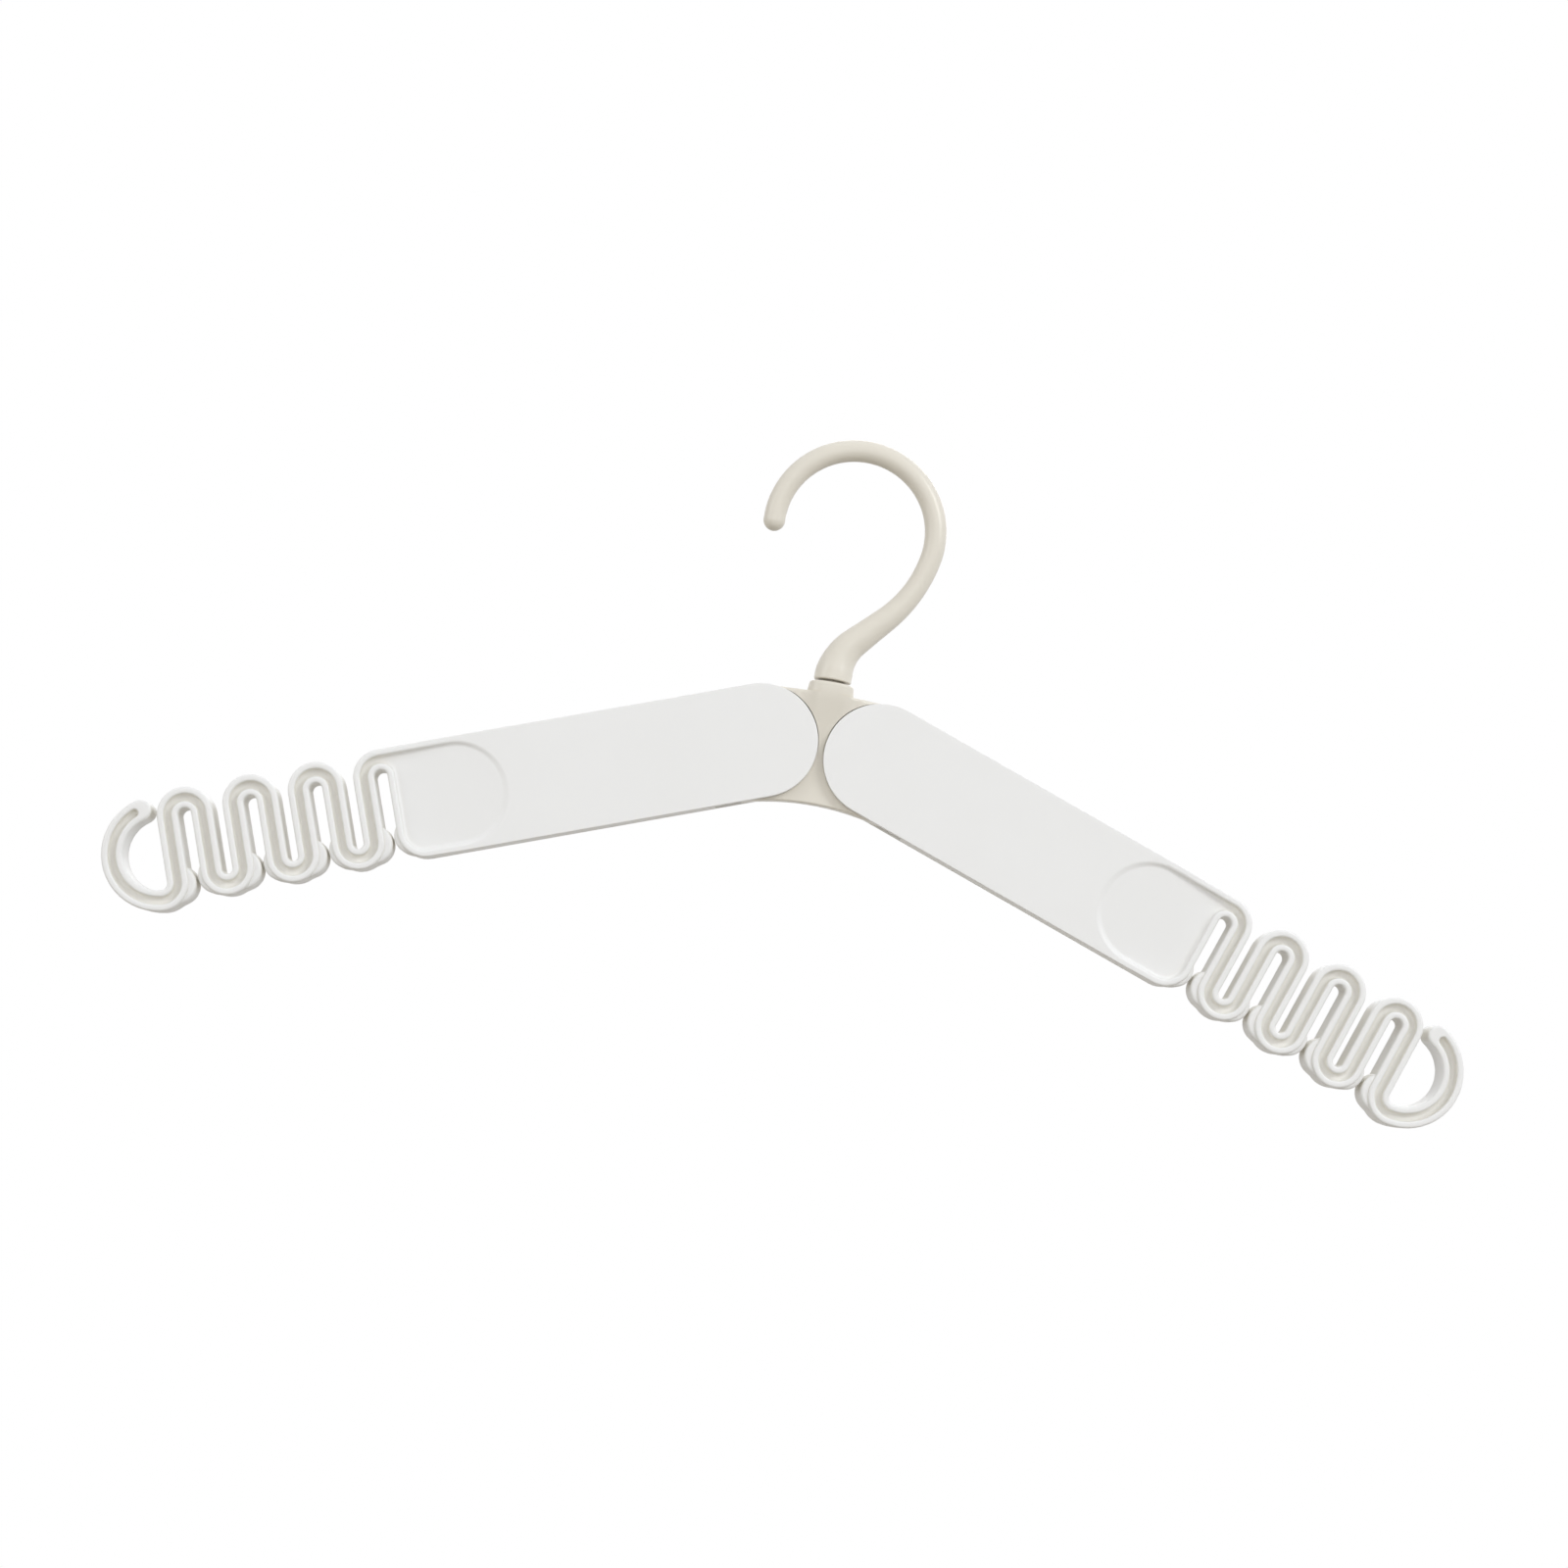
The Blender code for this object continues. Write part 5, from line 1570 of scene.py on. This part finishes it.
# %% World
FILL_FROM = (0.45, -0.25, 0.86)


def add_world():
    """White to the eye, and for all other light a gradient from upper right to lower left."""
    world = bpy.data.worlds.new("studio")
    bpy.context.scene.world = world
    world.use_nodes = True
    tree = world.node_tree
    place = add_node(tree, "ShaderNodeTexCoord").outputs["Generated"]
    inputs = {0: place, 1: FILL_FROM}
    along = add_node(tree, "ShaderNodeVectorMath", inputs, operation="DOT_PRODUCT")
    inputs = {"Value": along.outputs["Value"], "From Min": -1.0}
    share = add_node(tree, "ShaderNodeMapRange", inputs).outputs["Result"]
    colour = mix_colours(tree, share, FILL_LOW, FILL_HIGH)
    fill = plug(tree, tree.nodes["Background"], {"Color": colour})
    white = add_node(tree, "ShaderNodeBackground", {"Color": PURE_WHITE})
    whole = mix_shaders(tree, straight_view(tree), fill, white)
    plug(tree, tree.nodes["World Output"], {"Surface": whole.outputs["Shader"]})
    print("world:", world.name, "with", len(tree.nodes), "nodes")


add_world()

# %% Lamps
MIDDLE = (0.0, 0.0, -0.08)
LAMPS = (
    ("key", (1.3, -1.3, 1.0), 0.8, 15.2, (0.985, 0.995, 1.0)),
    ("front", (-0.1, -1.9, 0.1), 1.4, 5.2, (0.97, 0.985, 1.0)),
    ("left", (-1.5, -0.8, 0.2), 1.0, 5.5, (0.985, 0.99, 1.0)),
    ("back", (0.3, 1.6, 0.9), 1.2, 6.0, (1.0, 0.99, 0.97)),
)

for name, place, size, power, colour in LAMPS:
    lamp = bpy.data.lights.new(name, "AREA")
    lamp.size = size
    lamp.energy = power
    lamp.color = colour
    light = link(name, lamp)
    aim = (Vector(MIDDLE) - Vector(place)).to_track_quat("-Z", "Y")
    light.matrix_world = Matrix.Translation(place) @ aim.to_matrix().to_4x4()
    print("lamp:", name, power, "W")

# %% [markdown]
# ## Closing the scene
#
# The size of the dressed model's box is printed against the size of the box of the imported
# solids.

# %% Finish
low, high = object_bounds()
growth = [round((b - a) / MM, 2) for a, b in zip(high - low, cad_high - cad_low)]
print("box grows by, in mm:", growth)
